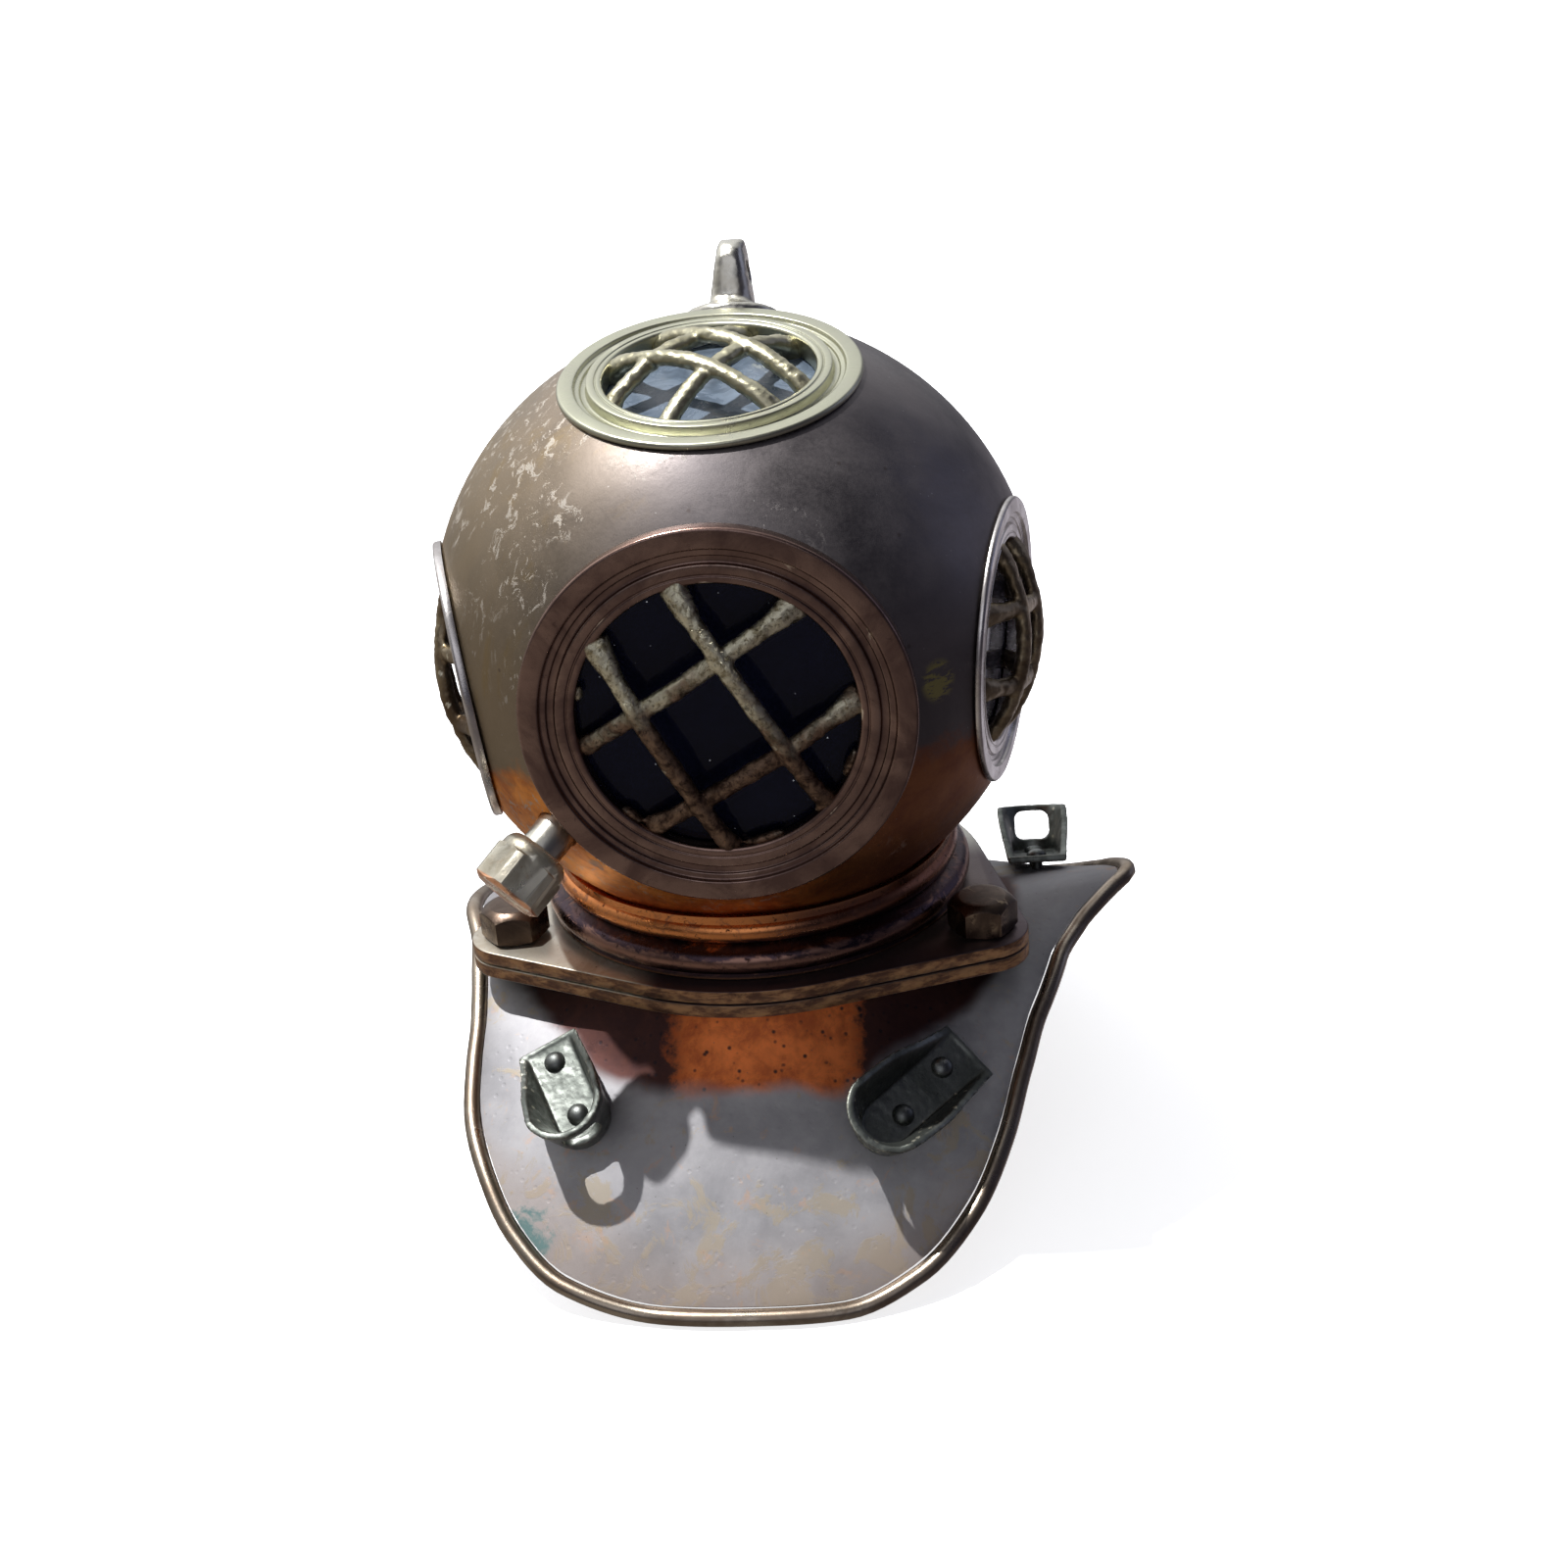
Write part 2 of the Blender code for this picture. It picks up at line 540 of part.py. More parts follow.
def sheet_line(turn):
    """Outer surface of the sheet along one azimuth, from the neck to the rim."""
    sideways = math.sin(math.radians(turn)) ** 2
    crease_r = CREASE_FRONT[0] + (CREASE_SIDE[0] - CREASE_FRONT[0]) * sideways
    crease_z = CREASE_FRONT[1] + (CREASE_SIDE[1] - CREASE_FRONT[1]) * sideways
    top = on_circle(NECK_TOP_R, turn) + Vector((0, 0, NECK_TOP_Z))
    crease = on_circle(crease_r, turn) + Vector((0, 0, crease_z))
    waist = on_circle(NECK_TOP_R + 1.6, turn)
    waist.z = NECK_TOP_Z + (crease_z - NECK_TOP_Z) * 0.45
    rim = rim_point(turn)
    middle = (crease + rim) / 2 + Vector((0, 0, BIB_BULGE))
    inward = (middle - rim).normalized()
    edge = rim + inward * (BEAD_R + GAP) / inward.cross(rim_direction(turn)).length
    line = [bezier(top, waist, crease, step / NECK_STEPS) for step in range(NECK_STEPS)]
    line += [bezier(crease, middle, edge, step / BIB_STEPS) for step in range(BIB_STEPS + 1)]
    return line


def add_corselet(corselet, material):
    bm = bmesh.new()
    lines = [[bm.verts.new(point) for point in sheet_line(turn)]
             for turn in range(-180, 180, AZIMUTH_STEP)]
    for line, following in zip(lines, lines[1:] + lines[:1]):
        for index in range(len(line) - 1):
            bm.faces.new((line[index], line[index + 1], following[index + 1], following[index]))
    sheet = add_object("corselet", bm, corselet, material)
    solidify = sheet.modifiers.new("sheet", 'SOLIDIFY')
    solidify.thickness = SHEET_THICK * MM
    solidify.offset = -1.0
    return sheet


def add_rim_bead(corselet, material):
    """Solid edging bead along the rim, with a level facet underneath to rest on."""
    loops = []
    for turn in range(-180, 180, AZIMUTH_STEP):
        centre, forward = rim_point(turn), rim_direction(turn)
        up = (Vector((0, 0, 1)) - forward * forward.z).normalized()
        across = forward.cross(up)
        loops.append([centre + across * (BEAD_R * math.cos(math.tau * side / BEAD_SIDES))
                      + up * (BEAD_R * math.sin(math.tau * side / BEAD_SIDES))
                      for side in range(BEAD_SIDES)])
    bm = bmesh.new()
    rings = [[bm.verts.new(point) for point in loop] for loop in loops]
    for ring, following in zip(rings, rings[1:] + rings[:1]):
        for index in range(BEAD_SIDES):
            after = (index + 1) % BEAD_SIDES
            bm.faces.new((ring[index], ring[after], following[after], following[index]))
    add_object("corselet_rim_bead", bm, corselet, material)


# ---------------------------------------------------------------- brackets

def sheet_at(turn, radius):
    """Point of the sheet's outer surface at a turn and a plan radius."""
    line = sheet_line(turn)
    for low, high in zip(line, line[1:]):
        low_r, high_r = math.hypot(low.x, low.y), math.hypot(high.x, high.y)
        if radius <= high_r:
            return low.lerp(high, (radius - low_r) / (high_r - low_r))
    return line[-1]


def bracket_frame(place):
    """Local X runs through both rivets down the sheet, local Z stands off the sheet."""
    turn, radius = place["turn"], place["radius"]
    upper = sheet_at(turn, radius)
    lower = upper
    for _ in range(4):
        level = math.sqrt(RIVET_SPACING ** 2 - (upper.z - lower.z) ** 2)
        plan = on_circle(radius, turn) + on_circle(level, place["heading"])
        lower = sheet_at(math.degrees(math.atan2(plan.x, -plan.y)), math.hypot(plan.x, plan.y))
    outward = sheet_at(turn, radius + 4) - sheet_at(turn, radius - 2)
    sideways = sheet_at(turn + 4, radius) - sheet_at(turn - 4, radius)
    along = (lower - upper).normalized()
    normal = sideways.cross(outward)
    normal = (normal if normal.z > 0 else -normal)
    normal = (normal - along * normal.dot(along)).normalized()
    return Matrix.Translation(upper * MM) @ Matrix(
        (along, normal.cross(along), normal)).transposed().to_4x4()


def scoop_outline(half_wide, long, start, steps=8):
    """U outline in plan: from the open end down one side, round the end and back."""
    end = arc((long - half_wide, 0.0), half_wide, -90.0, 90.0, steps)
    return [(start, -half_wide), ((start + long) / 2 - 2.0, -half_wide)] + end + [
        ((start + long) / 2 - 2.0, half_wide), (start, half_wide)]


def scoop_height(along, long, high):
    share = max(0.0, min(1.0, along / (long - BRACKET_HALF_WIDE)))
    return BRACKET_FLOOR + (high - BRACKET_FLOOR) * share ** 1.2 + SILL_HIGH


def add_bracket(name, place, corselet, materials):
    """Cast scoop: a floor, a wall that rises towards the end, and an eye in the end wall."""
    axis = add_empty(f"{name}_bracket_axis", bracket_frame(place), corselet)
    twist = Matrix.Rotation(math.radians(place["twist"]), 4, 'Z')
    middle = Matrix.Translation((RIVET_SPACING / 2, 0.0, 0.0))
    body_axis = add_empty(f"{name}_scoop_axis", mm_matrix(middle @ twist @ middle.inverted()), axis)
    base = -place["margin"]
    wall, lift, long, high = BRACKET_WALL, place["lift"], place["long"], place["high"]
    foot = scoop_outline(BRACKET_HALF_WIDE, long, 0.0)
    inner_foot = scoop_outline(BRACKET_HALF_WIDE - wall, long - wall, SILL_LONG)
    loops = [[Vector((x + base, y, lift)) for x, y in foot]]
    outer, inner = [], []
    for (x, y), (inner_x, inner_y) in zip(foot, inner_foot):
        height = scoop_height(x, long, high)
        lean = place["flare"] * height / high
        outward = Vector((x - long / 2, y, 0.0)) if x > long / 2 else Vector((0, y, 0))
        push = outward.normalized() * lean
        outer.append(Vector((x + base, y, lift + height)) + push)
        inner.append(Vector((inner_x + base, inner_y, lift + height)) + push)
    loops += [outer, inner]
    loops.append([Vector((x + base, y, lift + BRACKET_FLOOR)) for x, y in inner_foot])
    bracket = add_object(f"{name}_bracket", loops_to_body(loops), body_axis,
                         materials["cast_brass"], 30.0)
    add_eye(name, bracket, body_axis, base + long, lift)
    for label, along in (("upper", 0.0), ("lower", RIVET_SPACING)):
        hole = cylinder(RIVET_HOLE_R, -6.0, 6.0, 10)
        bmesh.ops.translate(hole, verts=hole.verts, vec=(along, 0, 0))
        cutter = add_cutter(f"{name}_{label}_rivet_hole", hole, axis)
        boolean(bracket, cutter)
        boolean(bpy.data.objects["corselet"], cutter)
        rivet = rivet_body(along, lift + BRACKET_FLOOR)
        add_object(f"{name}_{label}_rivet", rivet, axis, materials["rivet_bronze"])


def add_eye(name, bracket, axis, end, lift):
    """Rounded square eye through the end wall."""
    half_wide, half_high, corner = EYE_WIDE / 2, EYE_HIGH / 2, 1.6
    outline = []
    for quarter, (sx, sz) in enumerate(((1, 1), (-1, 1), (-1, -1), (1, -1))):
        centre = (sx * (half_wide - corner), lift + EYE_RISE + sz * (half_high - corner))
        outline += arc(centre, corner, 90.0 * quarter, 90.0 * quarter + 90.0, 2)
    loops = [[Vector((x, y, z)) for y, z in outline] for x in (end - 5.0, end + 5.0)]
    boolean(bracket, add_cutter(f"{name}_eye", loops_to_body(loops), axis))


def rivet_body(along, floor_top):
    """Round head on the bracket floor, shank, and a flat tail under the sheet."""
    head = floor_top + GAP
    tail = -SHEET_THICK - RIVET_TAIL_GAP
    profile = [(0, head + 1.1), (RIVET_HEAD_R * 0.6, head + 0.9), (RIVET_HEAD_R, head),
               (RIVET_R, head), (RIVET_R, tail), (RIVET_HEAD_R, tail),
               (RIVET_HEAD_R, tail - 0.6), (0, tail - 0.6)]
    bm = turned(profile, 10)
    bmesh.ops.translate(bm, verts=bm.verts, vec=(along, 0, 0))
    return bm


# ---------------------------------------------------------------- assembly

def main():
    clear_scene()
    materials = make_materials()
    bead_drop = BEAD_R * math.sin(math.tau / BEAD_SIDES)
    reach_right, reach_left = (rim_point(90.0).x + BEAD_R, -rim_point(-90.0).x + BEAD_R)
    centre = Vector(((reach_left - reach_right) / 2, 0.0, bead_drop - REST_Z))
    place = Matrix.Translation(centre * MM)
    corselet = add_empty("corselet_axis", place)
    bonnet = add_empty("bonnet_axis", place)
    inlet_place = Matrix.Translation(INLET_ROOT * MM) @ outward_frame(INLET_AXIS.normalized())
    inlet = add_empty("inlet_axis", inlet_place, bonnet)
    window_axes = {name: add_empty(f"{name}_window_axis", outward_frame(window_normal(window)), bonnet)
                   for name, window in WINDOWS.items()}

    add_bonnet_shell(bonnet, window_axes, inlet, materials["bonnet_copper"])
    for name, window in WINDOWS.items():
        add_window(name, window, window_axes[name], materials)
    add_neck_collar(bonnet, materials["collar_copper"])
    add_crown_lug(bonnet, materials["fitting_brass"])
    add_inlet(inlet, materials)
    add_flanges(bonnet, corselet, materials)
    add_bolts(bonnet, materials["bolt_bronze"])
    add_corselet(corselet, materials["corselet_copper"])
    add_rim_bead(corselet, materials["bead_brass"])
    for name, bracket_place in BRACKETS.items():
        add_bracket(name, bracket_place, corselet, materials)


main()
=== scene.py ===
"""Looks of a miniature three-bolt diving helmet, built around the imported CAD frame.

Shapes are in millimetres from the centre of the bonnet ball (+X to the viewer's right,
-Y the front, +Z up) and are written in metres in the row frame.
"""

import json
import math

import bmesh
import bpy
import numpy as np
from mathutils import Matrix, Vector, noise


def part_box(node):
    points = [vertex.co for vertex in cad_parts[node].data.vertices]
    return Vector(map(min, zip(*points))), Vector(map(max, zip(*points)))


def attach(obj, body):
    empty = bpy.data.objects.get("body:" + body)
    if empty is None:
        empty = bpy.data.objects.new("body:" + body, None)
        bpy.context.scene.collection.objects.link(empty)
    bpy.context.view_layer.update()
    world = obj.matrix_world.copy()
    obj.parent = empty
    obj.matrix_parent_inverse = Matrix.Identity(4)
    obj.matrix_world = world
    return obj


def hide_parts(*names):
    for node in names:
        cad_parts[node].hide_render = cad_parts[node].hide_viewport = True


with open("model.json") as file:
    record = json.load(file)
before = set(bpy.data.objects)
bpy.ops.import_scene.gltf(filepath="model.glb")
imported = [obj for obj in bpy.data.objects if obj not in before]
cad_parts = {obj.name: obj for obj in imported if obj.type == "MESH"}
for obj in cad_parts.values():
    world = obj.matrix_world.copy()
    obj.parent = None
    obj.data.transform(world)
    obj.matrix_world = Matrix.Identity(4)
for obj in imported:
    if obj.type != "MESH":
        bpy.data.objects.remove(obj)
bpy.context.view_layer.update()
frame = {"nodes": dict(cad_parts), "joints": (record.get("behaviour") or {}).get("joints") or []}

MM = 0.001
UP = Vector((0, 0, 1))
COLLAR_FOOT_Z = -47.75
_collar_low, _collar_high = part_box("neck_collar")
CENTRE = (_collar_low + _collar_high) / 2
CENTRE.z = _collar_low.z - COLLAR_FOOT_Z * MM
TO_WORLD = Matrix.Translation(CENTRE) @ Matrix.Scale(MM, 4)
CORSELET, BONNET = "corselet_unit", "bonnet_unit"

GAP = 0.3
GLASS_THICK, GLASS_LAP, LEDGE_DEPTH, RETAINER_THICK = 1.6, 2.4, 3.0, 1.2
BALL_R, BALL_WALL, NECK_CUT_Z = 50.0, 1.5, -38.9
WINDOWS = {
    "front": dict(face=43.0, outer=30.0, opening=21.3, lap=1.8, land=-0.5, azimuth=0.0,
                  rise=0.0, dome=3.2, bars=((32, 7.7), (31, -9.4), (117, 9.4), (120, -6.2))),
    "top": dict(face=45.3, outer=23.8, opening=16.6, lap=1.0, land=0.5, azimuth=0.0,
                rise=78.0, dome=5.0, bars=((49, 7.1), (56, -3.3), (-34, -4.0), (-41, 5.3))),
    "left": dict(face=46.2, outer=23.0, opening=16.2, lap=1.8, land=-0.5, azimuth=-77.0,
                 rise=-5.0, dome=4.6, bars=((12, -6.0), (12, 6.0), (102, -6.0), (102, 6.0))),
    "right": dict(face=45.7, outer=23.0, opening=16.2, lap=1.0, land=-0.5, azimuth=77.0,
                  rise=-2.3, dome=5.4, bars=((-12, -6.0), (-12, 6.0), (78, -6.0), (78, 6.0))),
}
FLANGE_TOP_Z, FLANGE_THICK, GASKET_THICK, FLANGE_GAP = -48.0, 1.9, 0.5, 0.25
FLANGE_DISCS = [(0.0, 40.0, 0.0)] + [(44.0, 7.5, turn - 3.0) for turn in (-64.0, 64.0, 180.0)]
FLANGE_BORE, BOLT_HOLE_R = 30.6, 3.25
INLET_ROOT = Vector((-27.2, -37.2, -19.4))
INLET_AXIS = Vector((-0.61, -0.55, -0.57)).normalized()
LUG_AXIS = Vector((0.03, 0.44, 0.897)).normalized()

REST_Z = -88.8
RIM_RIGHT = ((0, 69.3, REST_Z), (12, 69.8, REST_Z), (22, 68.7, -86.0), (32, 65.2, -80.8),
             (42, 60.2, -74.4), (52, 55.8, -67.8), (62, 53.7, -62.2), (72, 53.8, -57.4),
             (80, 56.0, -54.6), (86, 60.2, -51.9), (90, 64.3, -49.7), (97, 63.8, -52.5),
             (106, 63.0, -57.7), (116, 62.2, -63.2), (126, 62.4, -68.4), (136, 63.8, -74.4),
             (146, 66.4, -79.9), (156, 68.8, -84.7), (168, 69.8, REST_Z), (180, 69.3, REST_Z))
RIM_LEFT = ((0, 69.3, REST_Z), (12, 69.8, REST_Z), (25, 70.6, -86.0), (34, 68.5, -81.6),
            (43, 64.7, -75.4), (50, 61.3, -70.9), (57, 56.8, -65.8), (64, 53.0, -61.4),
            (72, 50.8, -57.2), (80, 49.9, -54.2), (90, 51.5, -52.0), (102, 52.6, -54.2),
            (115, 55.4, -61.0), (126, 59.0, -67.8), (136, 62.6, -74.0), (146, 66.2, -79.8),
            (156, 68.8, -84.7), (168, 69.8, REST_Z), (180, 69.3, REST_Z))
SHEET_THICK, BEAD_R, CAD_STEP = 1.2, 1.5, 6
NECK_TOP_R, NECK_TOP_Z = 36.3, -53.5
CREASE_FRONT, CREASE_SIDE, BIB_BULGE = (44.5, -65.3), (42.0, -54.9), 1.6

BRACKETS = {
    "left_hook": dict(turn=-42.5, radius=48.0, heading=28.0, lift=0.4, long=20.4, high=10.6,
                      flare=2.2, margin=4.0, twist=0.0),
    "right_hook": dict(turn=38.5, radius=48.8, heading=-41.0, lift=0.4, long=24.4, high=10.6,
                       flare=3.2, margin=5.8, twist=-9.0),
    "shoulder": dict(turn=106.0, radius=51.3, heading=180.0, lift=1.2, long=19.2, high=9.6,
                     flare=1.8, margin=4.2, twist=0.0),
}
BRACKET_HALF_WIDE, BRACKET_WALL, BRACKET_FLOOR, RIVET_SPACING = 5.1, 1.1, 1.1, 10.6


# ---------------------------------------------------------------- mesh helpers

def on_circle(radius, turn):
    """Plan point at a turn from the front; a positive turn goes to the right."""
    angle = math.radians(turn)
    return Vector((radius * math.sin(angle), -radius * math.cos(angle), 0.0))


def outward_frame(normal, origin=Vector((0, 0, 0))):
    across = UP.cross(normal).normalized()
    turn = Matrix((across, normal.cross(across), normal)).transposed().to_4x4()
    return Matrix.Translation(origin) @ turn


def arc(centre, radius, start, end, steps):
    angles = [math.radians(start + (end - start) * step / steps) for step in range(steps + 1)]
    return [(centre[0] + radius * math.cos(a), centre[1] + radius * math.sin(a)) for a in angles]


def eased(profile, radius=0.3, steps=3):
    """Round every corner of a closed (radius, height) profile."""
    points = [Vector(p) for p in profile]
    result = []
    for index, corner in enumerate(points):
        before, after = points[index - 1], points[(index + 1) % len(points)]
        back, ahead = before - corner, after - corner
        room = min(radius, 0.42 * back.length, 0.42 * ahead.length)
        start, end = corner + back.normalized() * room, corner + ahead.normalized() * room
        for step in range(steps + 1):
            t = step / steps
            result.append(start * (1 - t) ** 2 + corner * 2 * t * (1 - t) + end * t * t)
    return [(p.x, p.y) for p in result]


def spun(profile, segments, closed=False):
    """Vertices and faces of a profile turned about Z; ends on the axis become poles."""
    verts, faces, rings = [], [], []
    for radius, height in profile:
        if radius < 1e-6:
            rings.append([len(verts)] * segments)
            verts.append((0.0, 0.0, height))
            continue
        rings.append(list(range(len(verts), len(verts) + segments)))
        for step in range(segments):
            angle = math.tau * step / segments
            verts.append((radius * math.cos(angle), radius * math.sin(angle), height))
    pairs = list(zip(rings, rings[1:]))
    if closed:
        pairs.append((rings[-1], rings[0]))
    for low, high in pairs:
        for step in range(segments):
            after = (step + 1) % segments
            face = [low[step], low[after], high[after], high[step]]
            face = [v for i, v in enumerate(face) if v != face[i - 1]]
            if len(face) > 2:
                faces.append(face)
    return verts, faces


def rod(radius, low, high, segments):
    return spun([(0, low), (radius, low), (radius, high), (0, high)], segments)


def lofted(loops, closed=False):
    """Vertices and faces that join equal loops in order."""
    count = len(loops[0])
    verts = [tuple(point) for loop in loops for point in loop]
    faces = []
    last = len(loops) if closed else len(loops) - 1
    for row in range(last):
        base, following = row * count, (row + 1) % len(loops) * count
        for index in range(count):
            after = (index + 1) % count
            faces.append((base + index, base + after, following + after, following + index))
    if not closed:
        faces += [tuple(range(count)), tuple(range((len(loops) - 1) * count, len(loops) * count))]
    return verts, faces


def joined(*shapes):
    verts, faces = [], []
    for some_verts, some_faces in shapes:
        start = len(verts)
        verts += [tuple(v) for v in some_verts]
        faces += [tuple(start + i for i in face) for face in some_faces]
    return verts, faces


def moved(shape, matrix):
    return [tuple(matrix @ Vector(v)) for v in shape[0]], shape[1]


def linked(name, data):
    item = bpy.data.objects.new(name, data)
    bpy.context.scene.collection.objects.link(item)
    return item


def as_object(name, shape):
    mesh = bpy.data.meshes.new(name)
    mesh.from_pydata(shape[0], [], shape[1])
    bm = bmesh.new()
    bm.from_mesh(mesh)
    bmesh.ops.remove_doubles(bm, verts=bm.verts, dist=0.0005)
    bmesh.ops.recalc_face_normals(bm, faces=bm.faces)
    bm.to_mesh(mesh)
    bm.free()
    return linked(name, mesh)


def settle(item):
    """Replace an object's mesh by what its modifiers make of it."""
    bpy.context.view_layer.update()
    graph = bpy.context.evaluated_depsgraph_get()
    made = bpy.data.meshes.new_from_object(item.evaluated_get(graph))
    old = item.data
    item.modifiers.clear()
    item.data = made
    made.name = item.name
    bpy.data.meshes.remove(old)


def boolean(item, shape, operation="DIFFERENCE"):
    cutter = as_object("cutter", shape)
    modifier = item.modifiers.new("boolean", "BOOLEAN")
    modifier.operation, modifier.object, modifier.solver = operation, cutter, "EXACT"
    settle(item)
    bpy.data.objects.remove(cutter)


def bevelled(item, width, segments=3, angle=30.0):
    modifier = item.modifiers.new("bevel", "BEVEL")
    modifier.width, modifier.segments = width, segments
    modifier.limit_method, modifier.angle_limit = "ANGLE", math.radians(angle)
    settle(item)


def solidified(item, thickness):
    modifier = item.modifiers.new("sheet", "SOLIDIFY")
    modifier.thickness, modifier.offset = thickness, -1.0
    settle(item)


def cast(item, voxel, rounds, rough, scale, seed):
    """Fuse overlapping bodies into one soft-edged, rough-skinned casting."""
    remesh = item.modifiers.new("remesh", "REMESH")
    remesh.mode, remesh.voxel_size = "VOXEL", voxel
    settle(item)
    soften = item.modifiers.new("smooth", "SMOOTH")
    soften.factor, soften.iterations = 0.5, rounds
    settle(item)
    normals = np.zeros(len(item.data.vertices) * 3)
    item.data.vertices.foreach_get("normal", normals)
    normals = normals.reshape(-1, 3)
    coords = np.zeros(len(item.data.vertices) * 3)
    item.data.vertices.foreach_get("co", coords)
    coords = coords.reshape(-1, 3)
    shift = Vector((seed * 17.3, seed * 5.1, seed * 9.7))
    for index, point in enumerate(coords):
        where = Vector(point)
        bumps = noise.noise(where * scale + shift) + 0.5 * noise.noise(where * scale * 2.6 + shift)
        coords[index] = point + normals[index] * rough * bumps
    item.data.vertices.foreach_set("co", coords.ravel())
    item.data.update()


def piece(item, body, material, stands_for, place=None, smooth=35.0):
    item.data.transform(TO_WORLD @ (place or Matrix.Identity(4)))
    item.data.materials.clear()
    item.data.materials.append(material)
    item.data.shade_smooth()
    item.data.set_sharp_from_angle(angle=math.radians(smooth))
    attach(item, body)
    if stands_for:
        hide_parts(*stands_for)


# ---------------------------------------------------------------- materials

class Graph:
    """Short calls that add nodes to one material."""

    def __init__(self, name):
        self.material = bpy.data.materials.new(name)
        self.material.use_nodes = True
        self.tree = self.material.node_tree
        self.shader = self.tree.nodes["Principled BSDF"]
        self.coords = self.add("ShaderNodeTexCoord").outputs["Object"]
        self.mm = self.vector("MULTIPLY", self.vector("SUBTRACT", self.coords, tuple(CENTRE)),
                              (1 / MM,) * 3)

    def add(self, kind, **values):
        node = self.tree.nodes.new(kind)
        for key, value in values.items():
            setattr(node, key, value)
        return node

    def put(self, socket, value):
        if isinstance(value, bpy.types.NodeSocket):
            self.tree.links.new(value, socket)
        elif isinstance(value, tuple) and len(value) == 3 and socket.type == "RGBA":
            socket.default_value = (*value, 1.0)
        else:
            socket.default_value = value

    def vector(self, operation, a, b):
        node = self.add("ShaderNodeVectorMath", operation=operation)
        self.put(node.inputs[0], a)
        self.put(node.inputs[1], b)
        return node.outputs["Vector"]

    def math(self, operation, a, b=0.0):
        node = self.add("ShaderNodeMath", operation=operation)
        self.put(node.inputs[0], a)
        self.put(node.inputs[1], b)
        return node.outputs[0]

    def times(self, a, b):
        return self.math("MULTIPLY", a, b)

    def plus(self, a, b):
        return self.math("ADD", a, b)

    def minus(self, a, b):
        return self.math("SUBTRACT", a, b)

    def measure(self, operation, point):
        """Distance from a point, or run along a direction, in millimetres."""
        node = self.add("ShaderNodeVectorMath", operation=operation)
        self.put(node.inputs[0], self.mm)
        self.put(node.inputs[1], point)
        return node.outputs["Value"]

    def noise(self, scale, detail=4.0, rough=0.55, warp=0.0, offset=0.0, stretch=None):
        """Noise whose scale is in features per millimetre."""
        where = self.mm if stretch is None else self.vector("MULTIPLY", self.mm, stretch)
        if offset:
            where = self.vector("ADD", where, (offset, offset * 0.7, offset * 1.3))
        node = self.add("ShaderNodeTexNoise")
        self.put(node.inputs["Vector"], where)
        for key, value in (("Scale", scale), ("Detail", detail), ("Roughness", rough),
                           ("Distortion", warp)):
            node.inputs[key].default_value = value
        return node.outputs["Fac"]

    def cells(self, scale, offset):
        where = self.vector("ADD", self.mm, (offset, offset * 0.6, offset * 1.7))
        node = self.add("ShaderNodeTexVoronoi")
        self.put(node.inputs["Vector"], where)
        node.inputs["Scale"].default_value = scale
        return node.outputs["Distance"]

    def span(self, value, low, high, to_low=0.0, to_high=1.0):
        node = self.add("ShaderNodeMapRange", interpolation_type="SMOOTHSTEP")
        self.put(node.inputs["Value"], value)
        for key, number in (("From Min", low), ("From Max", high), ("To Min", to_low),
                            ("To Max", to_high)):
            node.inputs[key].default_value = number
        return node.outputs["Result"]

    def mix(self, factor, a, b):
        node = self.add("ShaderNodeMix", data_type="RGBA")
        self.put(node.inputs["Factor"], factor)
        self.put(node.inputs[6], a)
        self.put(node.inputs[7], b)
        return node.outputs[2]

    def tint(self, colour, mask, amount, toward):
        return self.mix(self.times(mask, amount), colour, toward)

    def axis(self, which):
        node = self.add("ShaderNodeSeparateXYZ")
        self.put(node.inputs[0], self.mm)
        return node.outputs[which]

    def from_axis(self):
        """Distance from the upright axis through the ball, in millimetres."""
        node = self.add("ShaderNodeVectorMath", operation="LENGTH")
        self.put(node.inputs[0], self.vector("MULTIPLY", self.mm, (1.0, 1.0, 0.0)))
        return node.outputs["Value"]

    def edges(self, low=0.52, high=0.6, at_low=0.0, at_high=1.0):
        point = self.add("ShaderNodeNewGeometry").outputs["Pointiness"]
        return self.span(point, low, high, at_low, at_high)

    def hollows(self, low=0.40, high=0.49):
        return self.edges(low, high, 1.0, 0.0)

    def bump(self, height, strength, distance_mm, normal=None):
        node = self.add("ShaderNodeBump")
        node.inputs["Strength"].default_value = strength
        node.inputs["Distance"].default_value = distance_mm * MM
        self.put(node.inputs["Height"], height)
        if normal is not None:
            self.put(node.inputs["Normal"], normal)
        return node.outputs["Normal"]

    def finish(self, colour, roughness, normal=None, metallic=1.0, **constants):
        self.put(self.shader.inputs["Base Color"], colour)
        self.put(self.shader.inputs["Roughness"], roughness)
        self.put(self.shader.inputs["Metallic"], metallic)
        if normal is not None:
            self.put(self.shader.inputs["Normal"], normal)
        for key, value in constants.items():
            self.shader.inputs[key.replace("_", " ")].default_value = value
        return self.material


